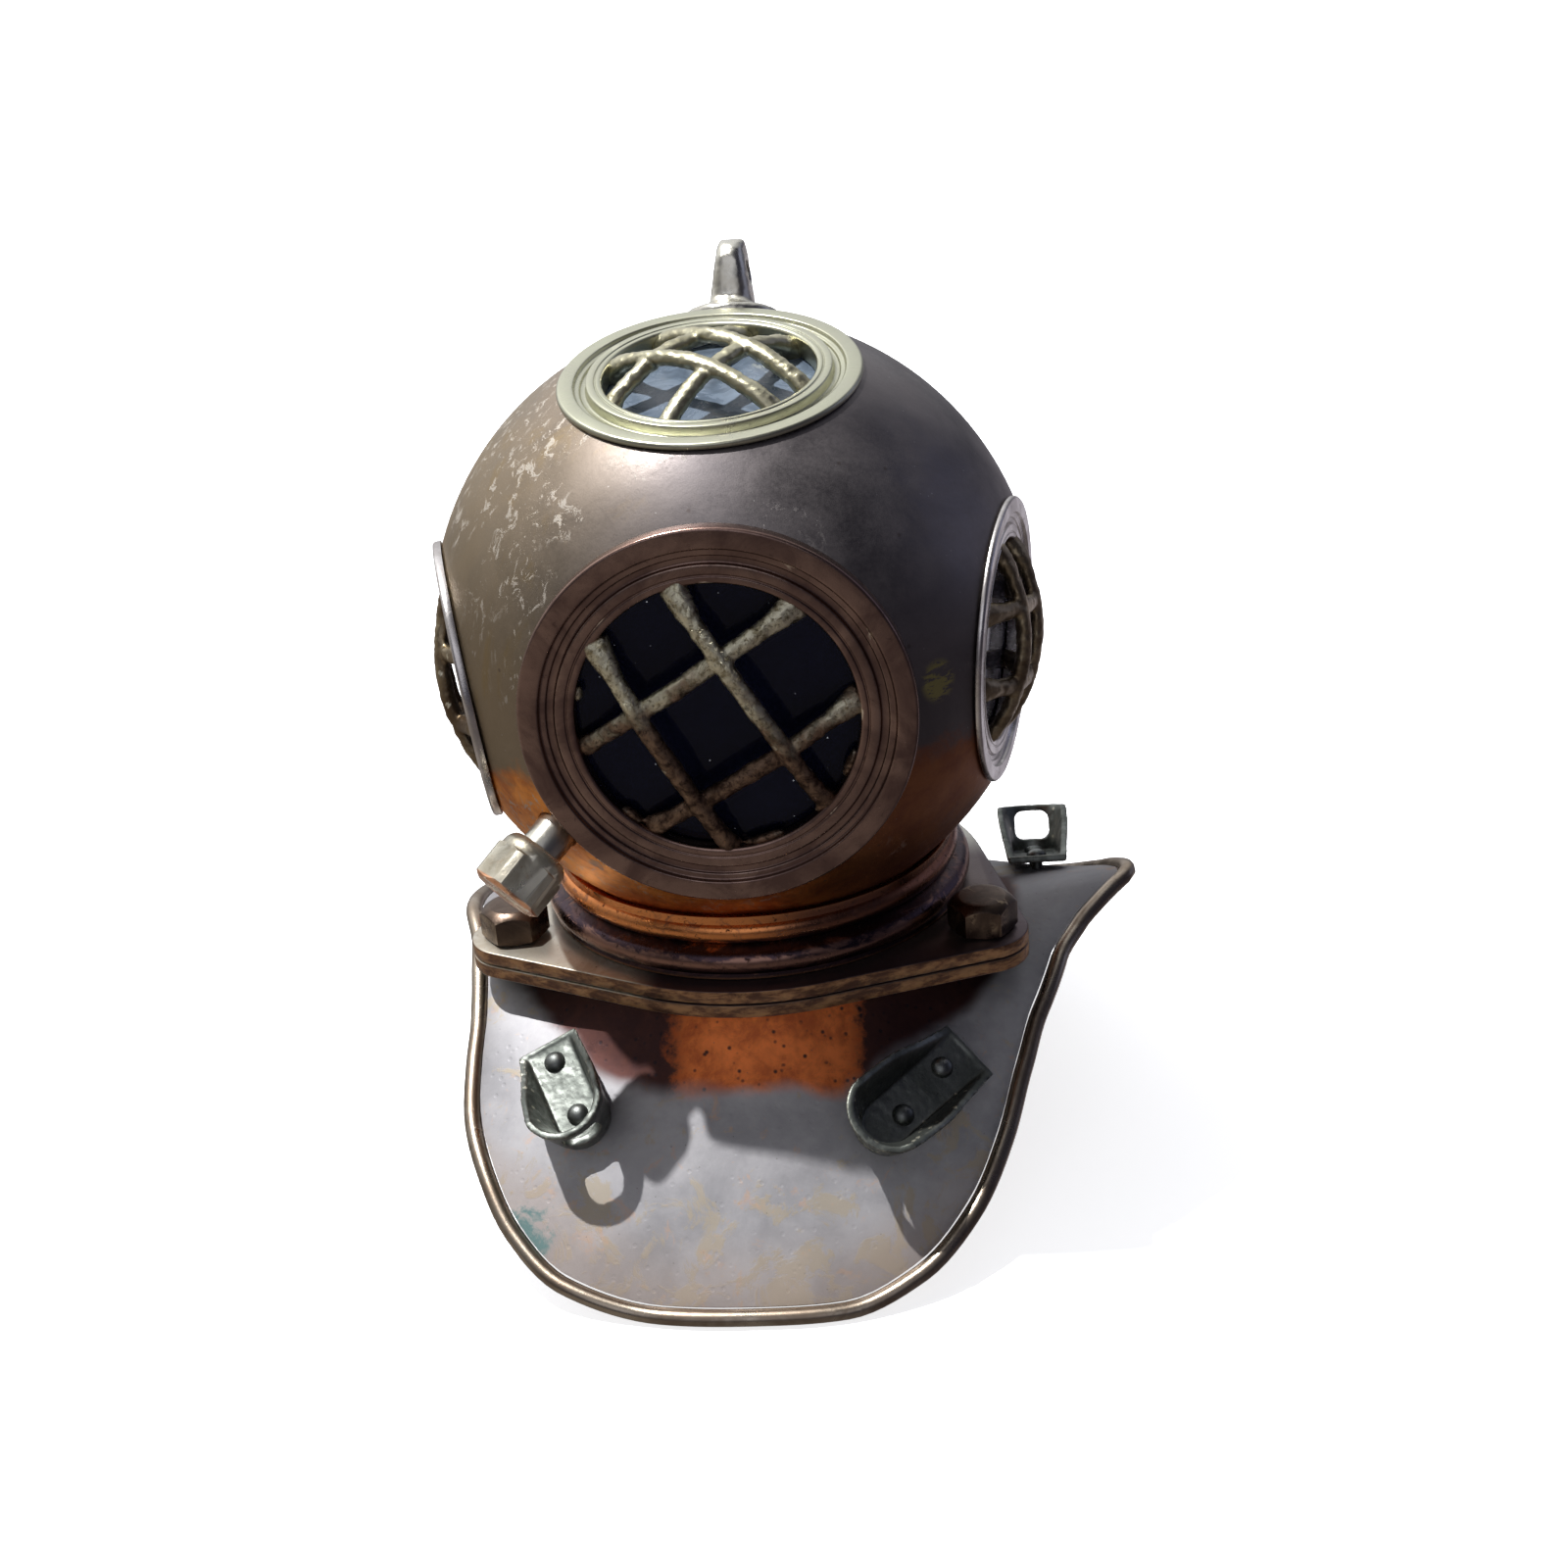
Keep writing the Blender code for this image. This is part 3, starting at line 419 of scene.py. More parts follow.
def bonnet_copper():
    """Dull brown patina with pale scuffs, lighter and yellower on the left as painted light, and
    an orange copper band towards the neck that is partly painted reflection of the ground,
    darkened on the right as painted shade.
    """
    g = Graph("bonnet_copper")
    cloud = g.noise(0.035, 5.0, 0.6, 0.6)
    colour = g.mix(g.span(cloud, 0.3, 0.7), (0.135, 0.122, 0.126), (0.235, 0.21, 0.208))
    # Painted light: the left side of the ball is tinted lighter and yellower, as if lit from the
    # upper left; the same mask keeps the yellow streaks and gathers the pale scuff patches on that
    # side.
    left = g.span(g.axis(0), 4.0, -42.0)
    colour = g.tint(colour, left, 0.7, (0.36, 0.27, 0.155))
    streak = g.noise(0.07, 5.0, 0.65, 1.8, 31.0, (1.0, 1.0, 0.5))
    streak = g.times(g.span(streak, 0.52, 0.70), left)
    colour = g.tint(colour, streak, 0.6, (0.30, 0.21, 0.09))
    # The orange band low on the ball is partly real copper and partly a painted reflection of the
    # ground below.
    wander = g.noise(0.06, 5.0, 0.65, 0.8, 12.0)
    height = g.plus(g.axis(2), g.span(wander, 0.2, 0.8, -5.0, 5.0))
    height = g.minus(height, g.times(g.axis(0), 0.07))
    low = g.span(height, -6.0, -11.5)
    copper = g.mix(g.span(g.noise(0.14, 7.0, 0.68, 0.25, 50.0), 0.35, 0.65),
                   (0.55, 0.18, 0.045), (0.95, 0.39, 0.085))
    # Painted shade: the orange band darkens to red-brown towards the right side of the ball.
    copper = g.mix(g.span(g.axis(0), 0.0, 24.0, 0.0, 0.8), copper, (0.22, 0.085, 0.055))
    colour = g.mix(low, colour, copper)
    patches = g.noise(0.045, 3.0, 0.5, 0.5, 77.0)
    patches = g.span(g.plus(patches, g.times(left, 0.13)), 0.55, 0.66)
    marks = g.noise(0.46, 9.0, 0.72, 0.7, 5.0, (1.0, 1.0, 0.6))
    fleck = g.times(g.span(marks, 0.56, 0.60), patches)
    hair = g.span(g.noise(1.1, 6.0, 0.7, 1.2, 61.0, (2.2, 2.2, 0.5)), 0.62, 0.70)
    fleck = g.math("MAXIMUM", fleck, g.times(g.times(hair, patches), 0.8))
    colour = g.tint(colour, fleck, 0.62, (0.62, 0.58, 0.52))
    blot = g.span(g.noise(0.30, 6.0, 0.7, 0.4, 8.0, (0.8, 0.8, 2.4)), 0.47, 0.53)
    smear = g.times(blot, g.span(g.measure("DISTANCE", (33.0, -37.4, 2.6)), 2.2, 3.8, 1.0, 0.0))
    colour = g.tint(colour, smear, 0.9, (0.46, 0.42, 0.16))
    spots = g.span(g.cells(0.16, 3.0), 0.03, 0.07, 1.0, 0.0)
    colour = g.tint(colour, spots, 0.5, (0.10, 0.075, 0.065))
    specks = g.span(g.cells(0.45, 23.0), 0.03, 0.055, 1.0, 0.0)
    colour = g.tint(colour, specks, 0.55, (0.6, 0.58, 0.55))
    fine = g.noise(1.6, 6.0, 0.65, 0.0, 9.0)
    rough = g.plus(g.span(g.noise(0.11, 5.0, 0.6, 0.5, 22.0), 0.3, 0.7, 0.40, 0.52),
                   g.times(fleck, 0.22))
    rough = g.plus(rough, g.span(fine, 0.3, 0.7, -0.03, 0.04))
    scratch = g.noise(0.9, 3.0, 0.5, 0.2, 14.0, (6.0, 6.0, 0.25))
    relief = g.plus(g.times(fine, 0.5), g.plus(g.times(fleck, 0.9), g.times(scratch, 0.25)))
    normal = g.bump(relief, 0.25, 0.12)
    dents = g.bump(g.noise(0.07, 2.0, 0.4, 0.0, 41.0), 0.2, 1.0, normal)
    return g.finish(colour, rough, dents)


def collar_copper():
    """Bright orange on the upper bead where painted light falls, fading towards the right; dark
    purple-brown below as painted shade; pits all over.
    """
    g = Graph("collar_copper")
    around = g.noise(0.10, 5.0, 0.62, 1.2, 4.0, (1.0, 1.0, 2.2))
    height = g.plus(g.axis(2), g.span(around, 0.25, 0.75, -1.3, 1.3))
    # Painted light: the upper bead is lit orange, fading towards the right; everywhere else the
    # collar is painted dark as shade.
    lit = g.times(g.span(height, -42.6, -41.4), g.span(g.axis(0), 12.0, 0.0, 0.25, 1.0))
    colour = g.mix(lit, (0.07, 0.045, 0.055), (0.80, 0.30, 0.10))
    bead = g.times(g.span(height, -46.6, -45.8), g.span(height, -43.6, -44.4))
    colour = g.tint(colour, bead, 0.75, (0.40, 0.22, 0.16))
    blotch = g.span(g.noise(0.22, 6.0, 0.66, 1.5, 40.0, (1.0, 1.0, 1.6)), 0.52, 0.64)
    colour = g.tint(colour, blotch, 0.55, (0.16, 0.085, 0.075))
    pits = g.span(g.noise(1.1, 7.0, 0.7, 0.6, 8.0), 0.58, 0.68)
    colour = g.tint(colour, pits, 0.8, (0.06, 0.035, 0.03))
    # Hollows darkened, partly grime and partly painted shade; edges brightened orange, partly worn
    # copper and partly painted highlight.
    colour = g.tint(colour, g.hollows(), 0.75, (0.05, 0.035, 0.03))
    colour = g.tint(colour, g.edges(), 0.4, (0.85, 0.42, 0.18))
    rough = g.plus(g.span(around, 0.3, 0.7, 0.36, 0.22), g.times(pits, 0.3))
    relief = g.minus(g.noise(0.5, 5.0, 0.6, 0.4, 3.0, (1.0, 1.0, 0.5)), g.times(pits, 0.8))
    return g.finish(colour, rough, g.bump(relief, 0.3, 0.15))


def corselet_copper():
    """Orange copper on the neck with dark pits and near-black painted shadow on its two flanks,
    grey-brown patina with stains on the bib.
    """
    g = Graph("corselet_copper")
    wander = g.span(g.noise(0.05, 3.0, 0.5, 0.5), 0.2, 0.8, -2.0, 2.0)
    out = g.plus(g.from_axis(), wander)
    cloud = g.noise(0.07, 7.0, 0.68, 0.2, 60.0)
    colour = g.mix(g.span(cloud, 0.32, 0.68), (0.25, 0.245, 0.255), (0.36, 0.35, 0.36))
    height = g.axis(2)
    stain = g.noise(0.12, 8.0, 0.72, 0.7, 23.0)
    stain = g.span(g.plus(stain, g.span(height, -66.0, -80.0, -0.04, 0.06)), 0.55, 0.62)
    colour = g.tint(colour, stain, 0.65, (0.36, 0.30, 0.21))
    orange = g.span(g.noise(0.20, 7.0, 0.72, 0.8, 91.0), 0.58, 0.66)
    colour = g.tint(colour, orange, 0.4, (0.52, 0.30, 0.17))
    to_rim = g.span(out, 58.0, 68.0)
    colour = g.tint(colour, to_rim, 0.45, (0.30, 0.22, 0.17))
    ragged = g.span(g.noise(0.35, 5.0, 0.7, 1.0, 7.0), 0.2, 0.8, -4.0, 4.0)
    teal = g.plus(g.measure("DISTANCE", (-38.0, -58.4, -81.4)), ragged)
    teal = g.span(teal, 2.0, 6.5, 1.0, 0.0)
    colour = g.tint(colour, teal, 0.75, (0.07, 0.19, 0.19))
    neck_noise = g.noise(0.20, 7.0, 0.7, 0.2, 33.0)
    neck = g.mix(g.span(neck_noise, 0.35, 0.65), (0.46, 0.11, 0.030), (0.84, 0.23, 0.06))
    pits = g.span(g.cells(0.55, 2.0), 0.10, 0.26, 1.0, 0.0)
    pits = g.times(pits, g.span(g.noise(0.22, 3.0, 0.6, 0.0, 19.0), 0.38, 0.5))
    neck = g.mix(pits, neck, (0.07, 0.03, 0.02))
    # Painted shadow: the neck is darkened almost to black on both flanks, leaving a lit orange
    # patch at the front.
    aside = g.plus(g.math("ABSOLUTE", g.minus(g.axis(0), 3.0)),
                   g.span(neck_noise, 0.2, 0.8, -3.0, 3.0))
    neck = g.mix(g.span(aside, 13.0, 16.5, 0.0, 0.95), neck, (0.030, 0.017, 0.02))
    on_neck = g.span(out, 46.0, 43.0)
    colour = g.mix(on_neck, colour, neck)
    specks = g.span(g.cells(0.35, 11.0), 0.02, 0.06, 1.0, 0.0)
    colour = g.tint(colour, specks, 0.5, (0.10, 0.08, 0.07))
    rough = g.plus(g.span(cloud, 0.3, 0.7, 0.50, 0.58), g.times(stain, 0.06))
    rough = g.plus(rough, g.times(teal, 0.25))
    fine = g.noise(1.3, 6.0, 0.65, 0.0, 2.0)
    relief = g.minus(g.plus(g.times(fine, 0.4), g.times(stain, 0.4)), g.times(pits, 0.8))
    normal = g.bump(relief, 0.22, 0.12)
    hammer = g.bump(g.noise(0.085, 2.0, 0.4, 0.3, 71.0), 0.22, 1.0, normal)
    return g.finish(colour, rough, hammer, g.span(on_neck, 0.0, 1.0, 0.5, 0.8))


def worn_brass(name, dark, base, bright, rough=(0.28, 0.42), grain=0.9, wear_and_highlight=0.8, grime_and_shade=0.8,
               relief=0.25):
    """Brass or bronze: two tones in clouds, grime and painted shade in hollows, bright worn metal
    and painted highlight on edges.
    """
    g = Graph(name)
    cloud = g.noise(0.09, 5.0, 0.62, 1.0, len(name) * 3.7)
    colour = g.mix(g.span(cloud, 0.34, 0.66), dark, base)
    spots = g.span(g.noise(grain, 7.0, 0.7, 0.5, 13.0), 0.58, 0.70)
    colour = g.tint(colour, spots, 0.45, tuple(c * 0.45 for c in dark))
    # Hollows darkened, partly grime and partly painted shade.
    colour = g.tint(colour, g.hollows(), grime_and_shade, tuple(c * 0.28 for c in dark))
    # Edges brightened in chipped patches, partly wear and partly painted highlight.
    chips = g.span(g.noise(0.6, 5.0, 0.65, 0.4, 29.0), 0.38, 0.56)
    colour = g.tint(colour, g.times(g.edges(), chips), wear_and_highlight, bright)
    fine = g.noise(2.4, 5.0, 0.6, 0.0, 37.0)
    shine = g.span(cloud, 0.3, 0.7, rough[1], rough[0])
    shine = g.plus(shine, g.times(spots, 0.18))
    skin = g.times(g.noise(grain, 6.0, 0.65, 0.3, 3.0), 0.8)
    height = g.plus(g.times(fine, 0.35), skin)
    return g.finish(colour, shine, g.bump(height, relief, 0.15))


def union_nut_brass():
    """Pale flats with fine ribs along the axis, a coppery end face, a bore and hollows darkened as
    painted shade with some grime, and edges brightened as wear and painted highlight.
    """
    g = Graph("union_nut_brass")
    along = g.minus(g.measure("DOT_PRODUCT", tuple(INLET_AXIS)), INLET_ROOT.dot(INLET_AXIS))
    cloud = g.noise(0.16, 5.0, 0.6, 0.8, 3.0)
    colour = g.mix(g.span(cloud, 0.32, 0.68), (0.30, 0.265, 0.20), (0.58, 0.55, 0.46))
    spots = g.span(g.noise(1.0, 6.0, 0.7, 0.5, 17.0), 0.57, 0.68)
    colour = g.tint(colour, spots, 0.5, (0.22, 0.16, 0.11))
    face = g.span(along, 12.3, 12.5)
    copper = g.mix(g.span(g.noise(0.5, 5.0, 0.6, 0.6, 9.0), 0.35, 0.65), (0.42, 0.17, 0.08),
                   (0.72, 0.36, 0.19))
    colour = g.mix(face, colour, copper)
    # Bore and hollows darkened, mostly painted shade with some grime; edges brightened pale,
    # partly wear and partly painted highlight.
    colour = g.tint(colour, g.hollows(), 0.9, (0.05, 0.035, 0.025))
    colour = g.tint(colour, g.edges(), 0.8, (0.95, 0.90, 0.76))
    ribs = g.noise(1.5, 2.0, 0.5, 0.0, 21.0, (1.0, 1.0, 0.0))
    relief = g.plus(g.noise(1.1, 6.0, 0.65, 0.3, 5.0), g.times(ribs, 0.8))
    rough = g.plus(g.span(cloud, 0.3, 0.7, 0.36, 0.24), g.times(spots, 0.2))
    return g.finish(colour, rough, g.bump(relief, 0.28, 0.15), 0.9)


def plate_brass():
    """Flat faces pale where painted sunlight falls on the left ear and at the back and near black
    in painted shadow elsewhere; golden brown edges with worn corners that are partly painted
    highlight.
    """
    g = Graph("plate_brass")
    facing = g.add("ShaderNodeSeparateXYZ")
    g.put(facing.inputs[0], g.add("ShaderNodeNewGeometry").outputs["Normal"])
    flat = g.span(g.math("ABSOLUTE", facing.outputs[2]), 0.45, 0.8)
    cloud = g.noise(0.10, 5.0, 0.6, 0.8, 30.0)
    top = g.mix(g.span(cloud, 0.32, 0.68), (0.42, 0.36, 0.28), (0.62, 0.61, 0.54))
    # Painted light and shadow: the flat faces stay pale where the sun falls, on the left ear and
    # at the back, and turn near black in the painted shadow of the ball elsewhere.
    pale = g.math("MAXIMUM", g.span(g.axis(0), -14.0, -20.0), g.span(g.axis(1), 4.0, 16.0))
    top = g.mix(pale, (0.085, 0.06, 0.065), top)
    edge = g.mix(g.span(g.noise(0.22, 6.0, 0.7, 0.3, 8.0, (1.0, 1.0, 3.0)), 0.38, 0.62),
                 (0.085, 0.04, 0.025), (0.32, 0.17, 0.08))
    colour = g.mix(flat, edge, top)
    spots = g.span(g.noise(0.9, 7.0, 0.7, 0.5, 13.0), 0.57, 0.68)
    colour = g.tint(colour, spots, 0.5, (0.12, 0.075, 0.05))
    # Hollows darkened, partly grime and partly painted shade; edges brightened, partly wear and
    # partly painted highlight.
    colour = g.tint(colour, g.hollows(), 0.7, (0.06, 0.04, 0.03))
    colour = g.tint(colour, g.edges(0.54, 0.62), 0.4, (0.75, 0.58, 0.38))
    rough = g.plus(g.span(cloud, 0.3, 0.7, 0.40, 0.28), g.times(spots, 0.2))
    return g.finish(colour, rough, g.bump(g.noise(1.2, 6.0, 0.65, 0.3, 3.0), 0.2, 0.12), 0.8)


def front_grille_brass():
    """Rough bars, pale and bright where they meet the ring high up, partly as painted light, and
    brown lower down, partly as painted shade.
    """
    g = Graph("front_grille_brass")
    patch = g.noise(0.11, 4.0, 0.6, 0.8, 18.0)
    # High up the bars turn pale, partly as painted light; lower down they stay dark brown, partly
    # grime and partly painted shade.
    height = g.plus(g.axis(2), g.span(patch, 0.25, 0.75, -9.0, 9.0))
    high = g.span(height, -4.0, 11.0)
    brown = g.mix(g.span(g.noise(0.5, 6.0, 0.66, 0.6, 4.0), 0.35, 0.62), (0.07, 0.042, 0.03),
                  (0.32, 0.21, 0.14))
    pale = g.mix(g.span(g.noise(0.8, 6.0, 0.66, 0.6, 54.0), 0.35, 0.55), (0.36, 0.31, 0.19),
                 (0.86, 0.81, 0.60))
    colour = g.mix(high, brown, pale)
    grit = g.span(g.noise(1.6, 7.0, 0.72, 0.5, 33.0), 0.57, 0.66)
    colour = g.tint(colour, grit, 0.45, (0.07, 0.048, 0.032))
    # Hollows darkened, partly grime and partly painted shade; edges brightened, partly wear and
    # partly painted highlight.
    colour = g.tint(colour, g.hollows(0.38, 0.48), 0.9, (0.035, 0.025, 0.02))
    colour = g.tint(colour, g.edges(0.53, 0.60), 0.5, (0.86, 0.80, 0.62))
    rough = g.plus(g.span(high, 0.0, 1.0, 0.42, 0.30), g.times(grit, 0.25))
    relief = g.minus(g.noise(1.3, 7.0, 0.7, 0.4, 3.0), g.times(grit, 0.8))
    return g.finish(colour, rough, g.bump(relief, 0.7, 0.2))


def window_glass(name, tint, dust, amount, shine):
    """Dark glass with a film of dust and a few pale specks."""
    g = Graph(name)
    film = g.noise(0.12, 6.0, 0.65, 1.2, 6.0)
    grit = g.span(g.cells(0.5, 4.0), 0.03, 0.09, 1.0, 0.0)
    keep = g.span(g.noise(0.3, 3.0, 0.6, 0.0, 44.0), 0.5, 0.62)
    veil = g.span(film, 0.3, 0.75, amount * 0.35, amount)
    colour = g.mix(veil, tint, dust)
    specks = g.times(grit, keep)
    colour = g.tint(colour, specks, 0.7, (0.45, 0.47, 0.50))
    rough = g.plus(g.span(film, 0.3, 0.75, 0.05, 0.05 + amount * 0.45), g.times(specks, 0.4))
    return g.finish(colour, rough, g.bump(film, 0.05, 0.1), 0.0, Specular_IOR_Level=shine)


def soft_black(name, tint, tone):
    g = Graph(name)
    cloud = g.noise(0.4, 5.0, 0.6)
    colour = g.mix(g.span(cloud, 0.3, 0.7), tint, tone)
    return g.finish(colour, g.span(cloud, 0.3, 0.7, 0.65, 0.85),
                    g.bump(g.noise(3.0, 4.0), 0.3, 0.1), 0.0)


BONNET_COPPER = bonnet_copper()
COLLAR_COPPER = collar_copper()
CORSELET_COPPER = corselet_copper()
FRONT_BRONZE = worn_brass("front_bronze", (0.17, 0.105, 0.090), (0.33, 0.215, 0.175),
                          (0.85, 0.72, 0.58),
                          (0.22, 0.34), 0.8, 1.0, 0.9)
TOP_BRASS = worn_brass("top_brass", (0.50, 0.50, 0.38), (0.58, 0.57, 0.44), (0.75, 0.72, 0.56),
                       (0.26, 0.38), 0.9, 0.5, 0.7, 0.15)
SIDE_BRASS = worn_brass("side_brass", (0.48, 0.44, 0.42), (0.78, 0.74, 0.72), (0.92, 0.88, 0.82),
                        (0.22, 0.34))
GRILLE_BRASS = worn_brass("grille_brass", (0.13, 0.085, 0.05), (0.42, 0.34, 0.22),
                          (0.80, 0.75, 0.58),
                          (0.30, 0.48), 1.2, 1.0, 0.9, 0.5)
FRONT_GRILLE_BRASS = front_grille_brass()
TOP_GRILLE_BRASS = worn_brass("top_grille_brass", (0.36, 0.33, 0.22), (0.56, 0.53, 0.38),
                              (0.80, 0.78, 0.62),
                              (0.30, 0.45), 1.2, 0.8, 0.95, 0.45)
PLATE_BRASS = plate_brass()
FITTING_BRASS = worn_brass("fitting_brass", (0.58, 0.55, 0.47), (0.80, 0.78, 0.70),
                           (0.92, 0.90, 0.84),
                           (0.20, 0.32), 0.8, 0.8, 0.8, 0.15)
NUT_BRASS = union_nut_brass()
CAST_BRASS = worn_brass("cast_brass", (0.11, 0.12, 0.108), (0.22, 0.232, 0.212),
                        (0.66, 0.64, 0.52),
                        (0.38, 0.55), 0.9, 0.9, 0.7, 0.4)
BOLT_BRONZE = worn_brass("bolt_bronze", (0.085, 0.06, 0.045), (0.17, 0.12, 0.09),
                         (0.42, 0.32, 0.22),
                         (0.26, 0.40), 0.9, 0.8)
BEAD_BRASS = worn_brass("bead_brass", (0.26, 0.20, 0.15), (0.46, 0.39, 0.31), (0.70, 0.58, 0.42),
                        (0.24, 0.38), 0.5, 0.5, 0.6, 0.2)
RIVET_BRONZE = worn_brass("rivet_bronze", (0.10, 0.105, 0.10), (0.20, 0.21, 0.20),
                          (0.42, 0.42, 0.40),
                          (0.34, 0.48), 1.0, 0.6)
INNER_BRASS = worn_brass("inner_brass", (0.22, 0.18, 0.12), (0.34, 0.28, 0.18), (0.5, 0.42, 0.3))
DARK_GLASS = window_glass("dark_glass", (0.0012, 0.0014, 0.0045), (0.02, 0.022, 0.035), 0.04, 0.16)
SIDE_GLASS = window_glass("side_glass", (0.004, 0.004, 0.008), (0.10, 0.09, 0.11), 0.3, 0.6)
DUSTY_GLASS = window_glass("dusty_glass", (0.015, 0.022, 0.035), (0.22, 0.28, 0.36), 0.9, 0.5)
GASKET = soft_black("gasket_rubber", (0.012, 0.012, 0.012), (0.03, 0.028, 0.026))
FIBRE = soft_black("washer_fibre", (0.12, 0.05, 0.03), (0.20, 0.09, 0.05))


# ---------------------------------------------------------------- bonnet

def ball_height(radius, extra=0.0):
    return math.sqrt((BALL_R + extra) ** 2 - radius ** 2)


def window_frame(window):
    rise = math.radians(window["rise"])
    plan = on_circle(math.cos(rise), window["azimuth"])
    return outward_frame(Vector((plan.x, plan.y, math.sin(rise))))


def build_ball():
    segments, steps = 168, 60
    inner = BALL_R - BALL_WALL
    profile = arc((0, 0), BALL_R, 90.0, math.degrees(math.asin(NECK_CUT_Z / BALL_R)), steps)
    profile += arc((0, 0), inner, math.degrees(math.asin(NECK_CUT_Z / inner)), 90.0, steps)
    profile[0], profile[-1] = (0.0, BALL_R), (0.0, inner)
    ball = as_object("bonnet_ball", spun(profile, segments))
    for window in WINDOWS.values():
        radius = window["outer"] - window["lap"]
        hole = rod(radius, 30.0, 60.0, 96)
        boolean(ball, moved(hole, window_frame(window)))
    hole = rod(3.7, -8.0, 6.0, 48)
    boolean(ball, moved(hole, outward_frame(INLET_AXIS, INLET_ROOT)))
    piece(ball, BONNET, BONNET_COPPER, ["bonnet_shell"])
    normals = []
    for vertex in ball.data.vertices:
        out = (vertex.co - CENTRE) / MM
        side = -1.0 if out.length < BALL_R - BALL_WALL / 2 else 1.0
        normals.append(out.normalized() * side)
    ball.data.normals_split_custom_set_from_vertices(normals)


def build_ring(name, window, material):
    face, outer, opening = window["face"], window["outer"], window["opening"]
    seat, ledge = outer - window["lap"], face - LEDGE_DEPTH
    glass_r = opening + GLASS_LAP
    depth = ledge - GAP - GLASS_THICK - GAP - RETAINER_THICK - 0.5
    part = (outer - opening) / 8.7
    land = face + window["land"]
    profile = [
        (opening, ledge), (opening, land - 0.35), (opening + 0.35, land),
        (opening + 1.15 * part, land + 0.02), (opening + 1.25 * part, land - 0.18),
        (opening + 1.5 * part, land - 0.18), (opening + 1.6 * part, land),
        (opening + 3.0 * part, land), (opening + 3.2 * part, face - 1.1),
        (opening + 4.3 * part, face - 1.1), (opening + 4.4 * part, face - 0.7),
        (opening + 5.3 * part, face - 0.7), (opening + 5.55 * part, face - 0.05),
        (opening + 5.9 * part, face), (outer - 0.3, face), (outer, face - 0.35),
        (outer, ball_height(outer, GAP)), (seat - GAP, ball_height(seat, GAP)),
        (seat - GAP, depth), (glass_r + GAP, depth), (glass_r + GAP, ledge)]
    ring = as_object(f"{name}_ring", spun(eased(profile, 0.22, 2), 144, closed=True))
    piece(ring, BONNET, material, [f"{name}_window_ring"], window_frame(window), 50.0)


def build_glass(name, window, material):
    radius, ledge = window["opening"] + GLASS_LAP, window["face"] - LEDGE_DEPTH
    top, low = ledge - GAP, ledge - GAP - GLASS_THICK
    profile = [(0, top)] + [(radius * share, top) for share in (0.3, 0.6, 0.85)] + [
        (radius - 0.3, top), (radius, top - 0.3), (radius, low + 0.3), (radius - 0.3, low), (0,
                                                                                             low)]
    glass = as_object(f"{name}_glass", spun(profile, 96))
    piece(glass, BONNET, material, [f"{name}_window_glass"], window_frame(window))


def bar_shape(turn, offset, opening, crown, foot, seed):
    """A bar that arches over the opening, thicker and turned down at its two ends."""
    along = Vector((math.cos(turn), math.sin(turn), 0.0))
    across = Vector((-math.sin(turn), math.cos(turn), 0.0))
    half = math.sqrt((opening + 0.25) ** 2 - offset ** 2)
    sphere_r = (opening ** 2 + (crown - foot) ** 2) / (2 * (crown - foot))
    steps, sides = 44, 14
    loops = []
    for step in range(steps + 1):
        share = -1.0 + 2.0 * step / steps
        run = half * share
        high_end = (along * share).y > 0.0
        reach = 0.72 if high_end else 0.84
        end = max(0.0, (abs(share) - reach) / (1.0 - reach))
        dome = math.sqrt(sphere_r ** 2 - run ** 2 - offset ** 2)
        height = crown - sphere_r + dome - 0.9 * end ** 2
        slope = Vector((-run * along.x, -run * along.y, 0.0)) / sphere_r
        lift = (UP - slope).normalized()
        wave = noise.noise(Vector((run * 0.22, seed * 7.7, 0.0)))
        swell = 1.0 + (0.62 if high_end else 0.25) * end ** 0.8 + 0.10 * wave
        sway = 0.35 * noise.noise(Vector((run * 0.09, seed * 3.3, 4.0)))
        centre = along * run + across * (offset + sway) + UP * height
        loops.append([centre + across * (1.48 * swell * math.cos(math.tau * side / sides))
                      + lift * (1.24 * swell * math.sin(math.tau * side / sides))
                      for side in range(sides)])
    return lofted(loops)


def solder_bead(start, end, radius, height):
    """A short, uneven fillet of solder along the inside of the opening."""
    loops = []
    for step in range(13):
        angle = math.radians(start + (end - start) * step / 12)
        way = Vector((math.cos(angle), math.sin(angle), 0.0))
        thick = 0.25 + 0.55 * math.sin(math.pi * step / 12) ** 0.6
        loops.append([way * (radius + thick * math.cos(math.tau * side / 8))
                      + UP * (height + 1.2 * thick * math.sin(math.tau * side / 8))
                      for side in range(8)])
    return lofted(loops)


def build_grille(name, window, material, seed):
    foot = window["face"] - 1.9
    crown = window["face"] + window["dome"] - 1.2
    bars = []
    for index, (turn, offset) in enumerate(window["bars"]):
        rise = 0.0 if index < 2 else 0.7
        bars.append(bar_shape(math.radians(turn), offset, window["opening"], crown - 0.7 + rise,
                              foot + rise, seed + index))
    if name == "front":
        for start, end in ((-17, -30), (-42, -50), (-66, -84), (-128, -138), (60, 52), (163, 170)):
            bars.append(solder_bead(start, end, window["opening"] - 0.25, foot + 0.1))
    grille = as_object(f"{name}_bars", joined(*bars))
    cast(grille, 0.33, 3, 0.16, 0.75, seed)
    piece(grille, BONNET, material, [f"{name}_grille"], window_frame(window), 80.0)


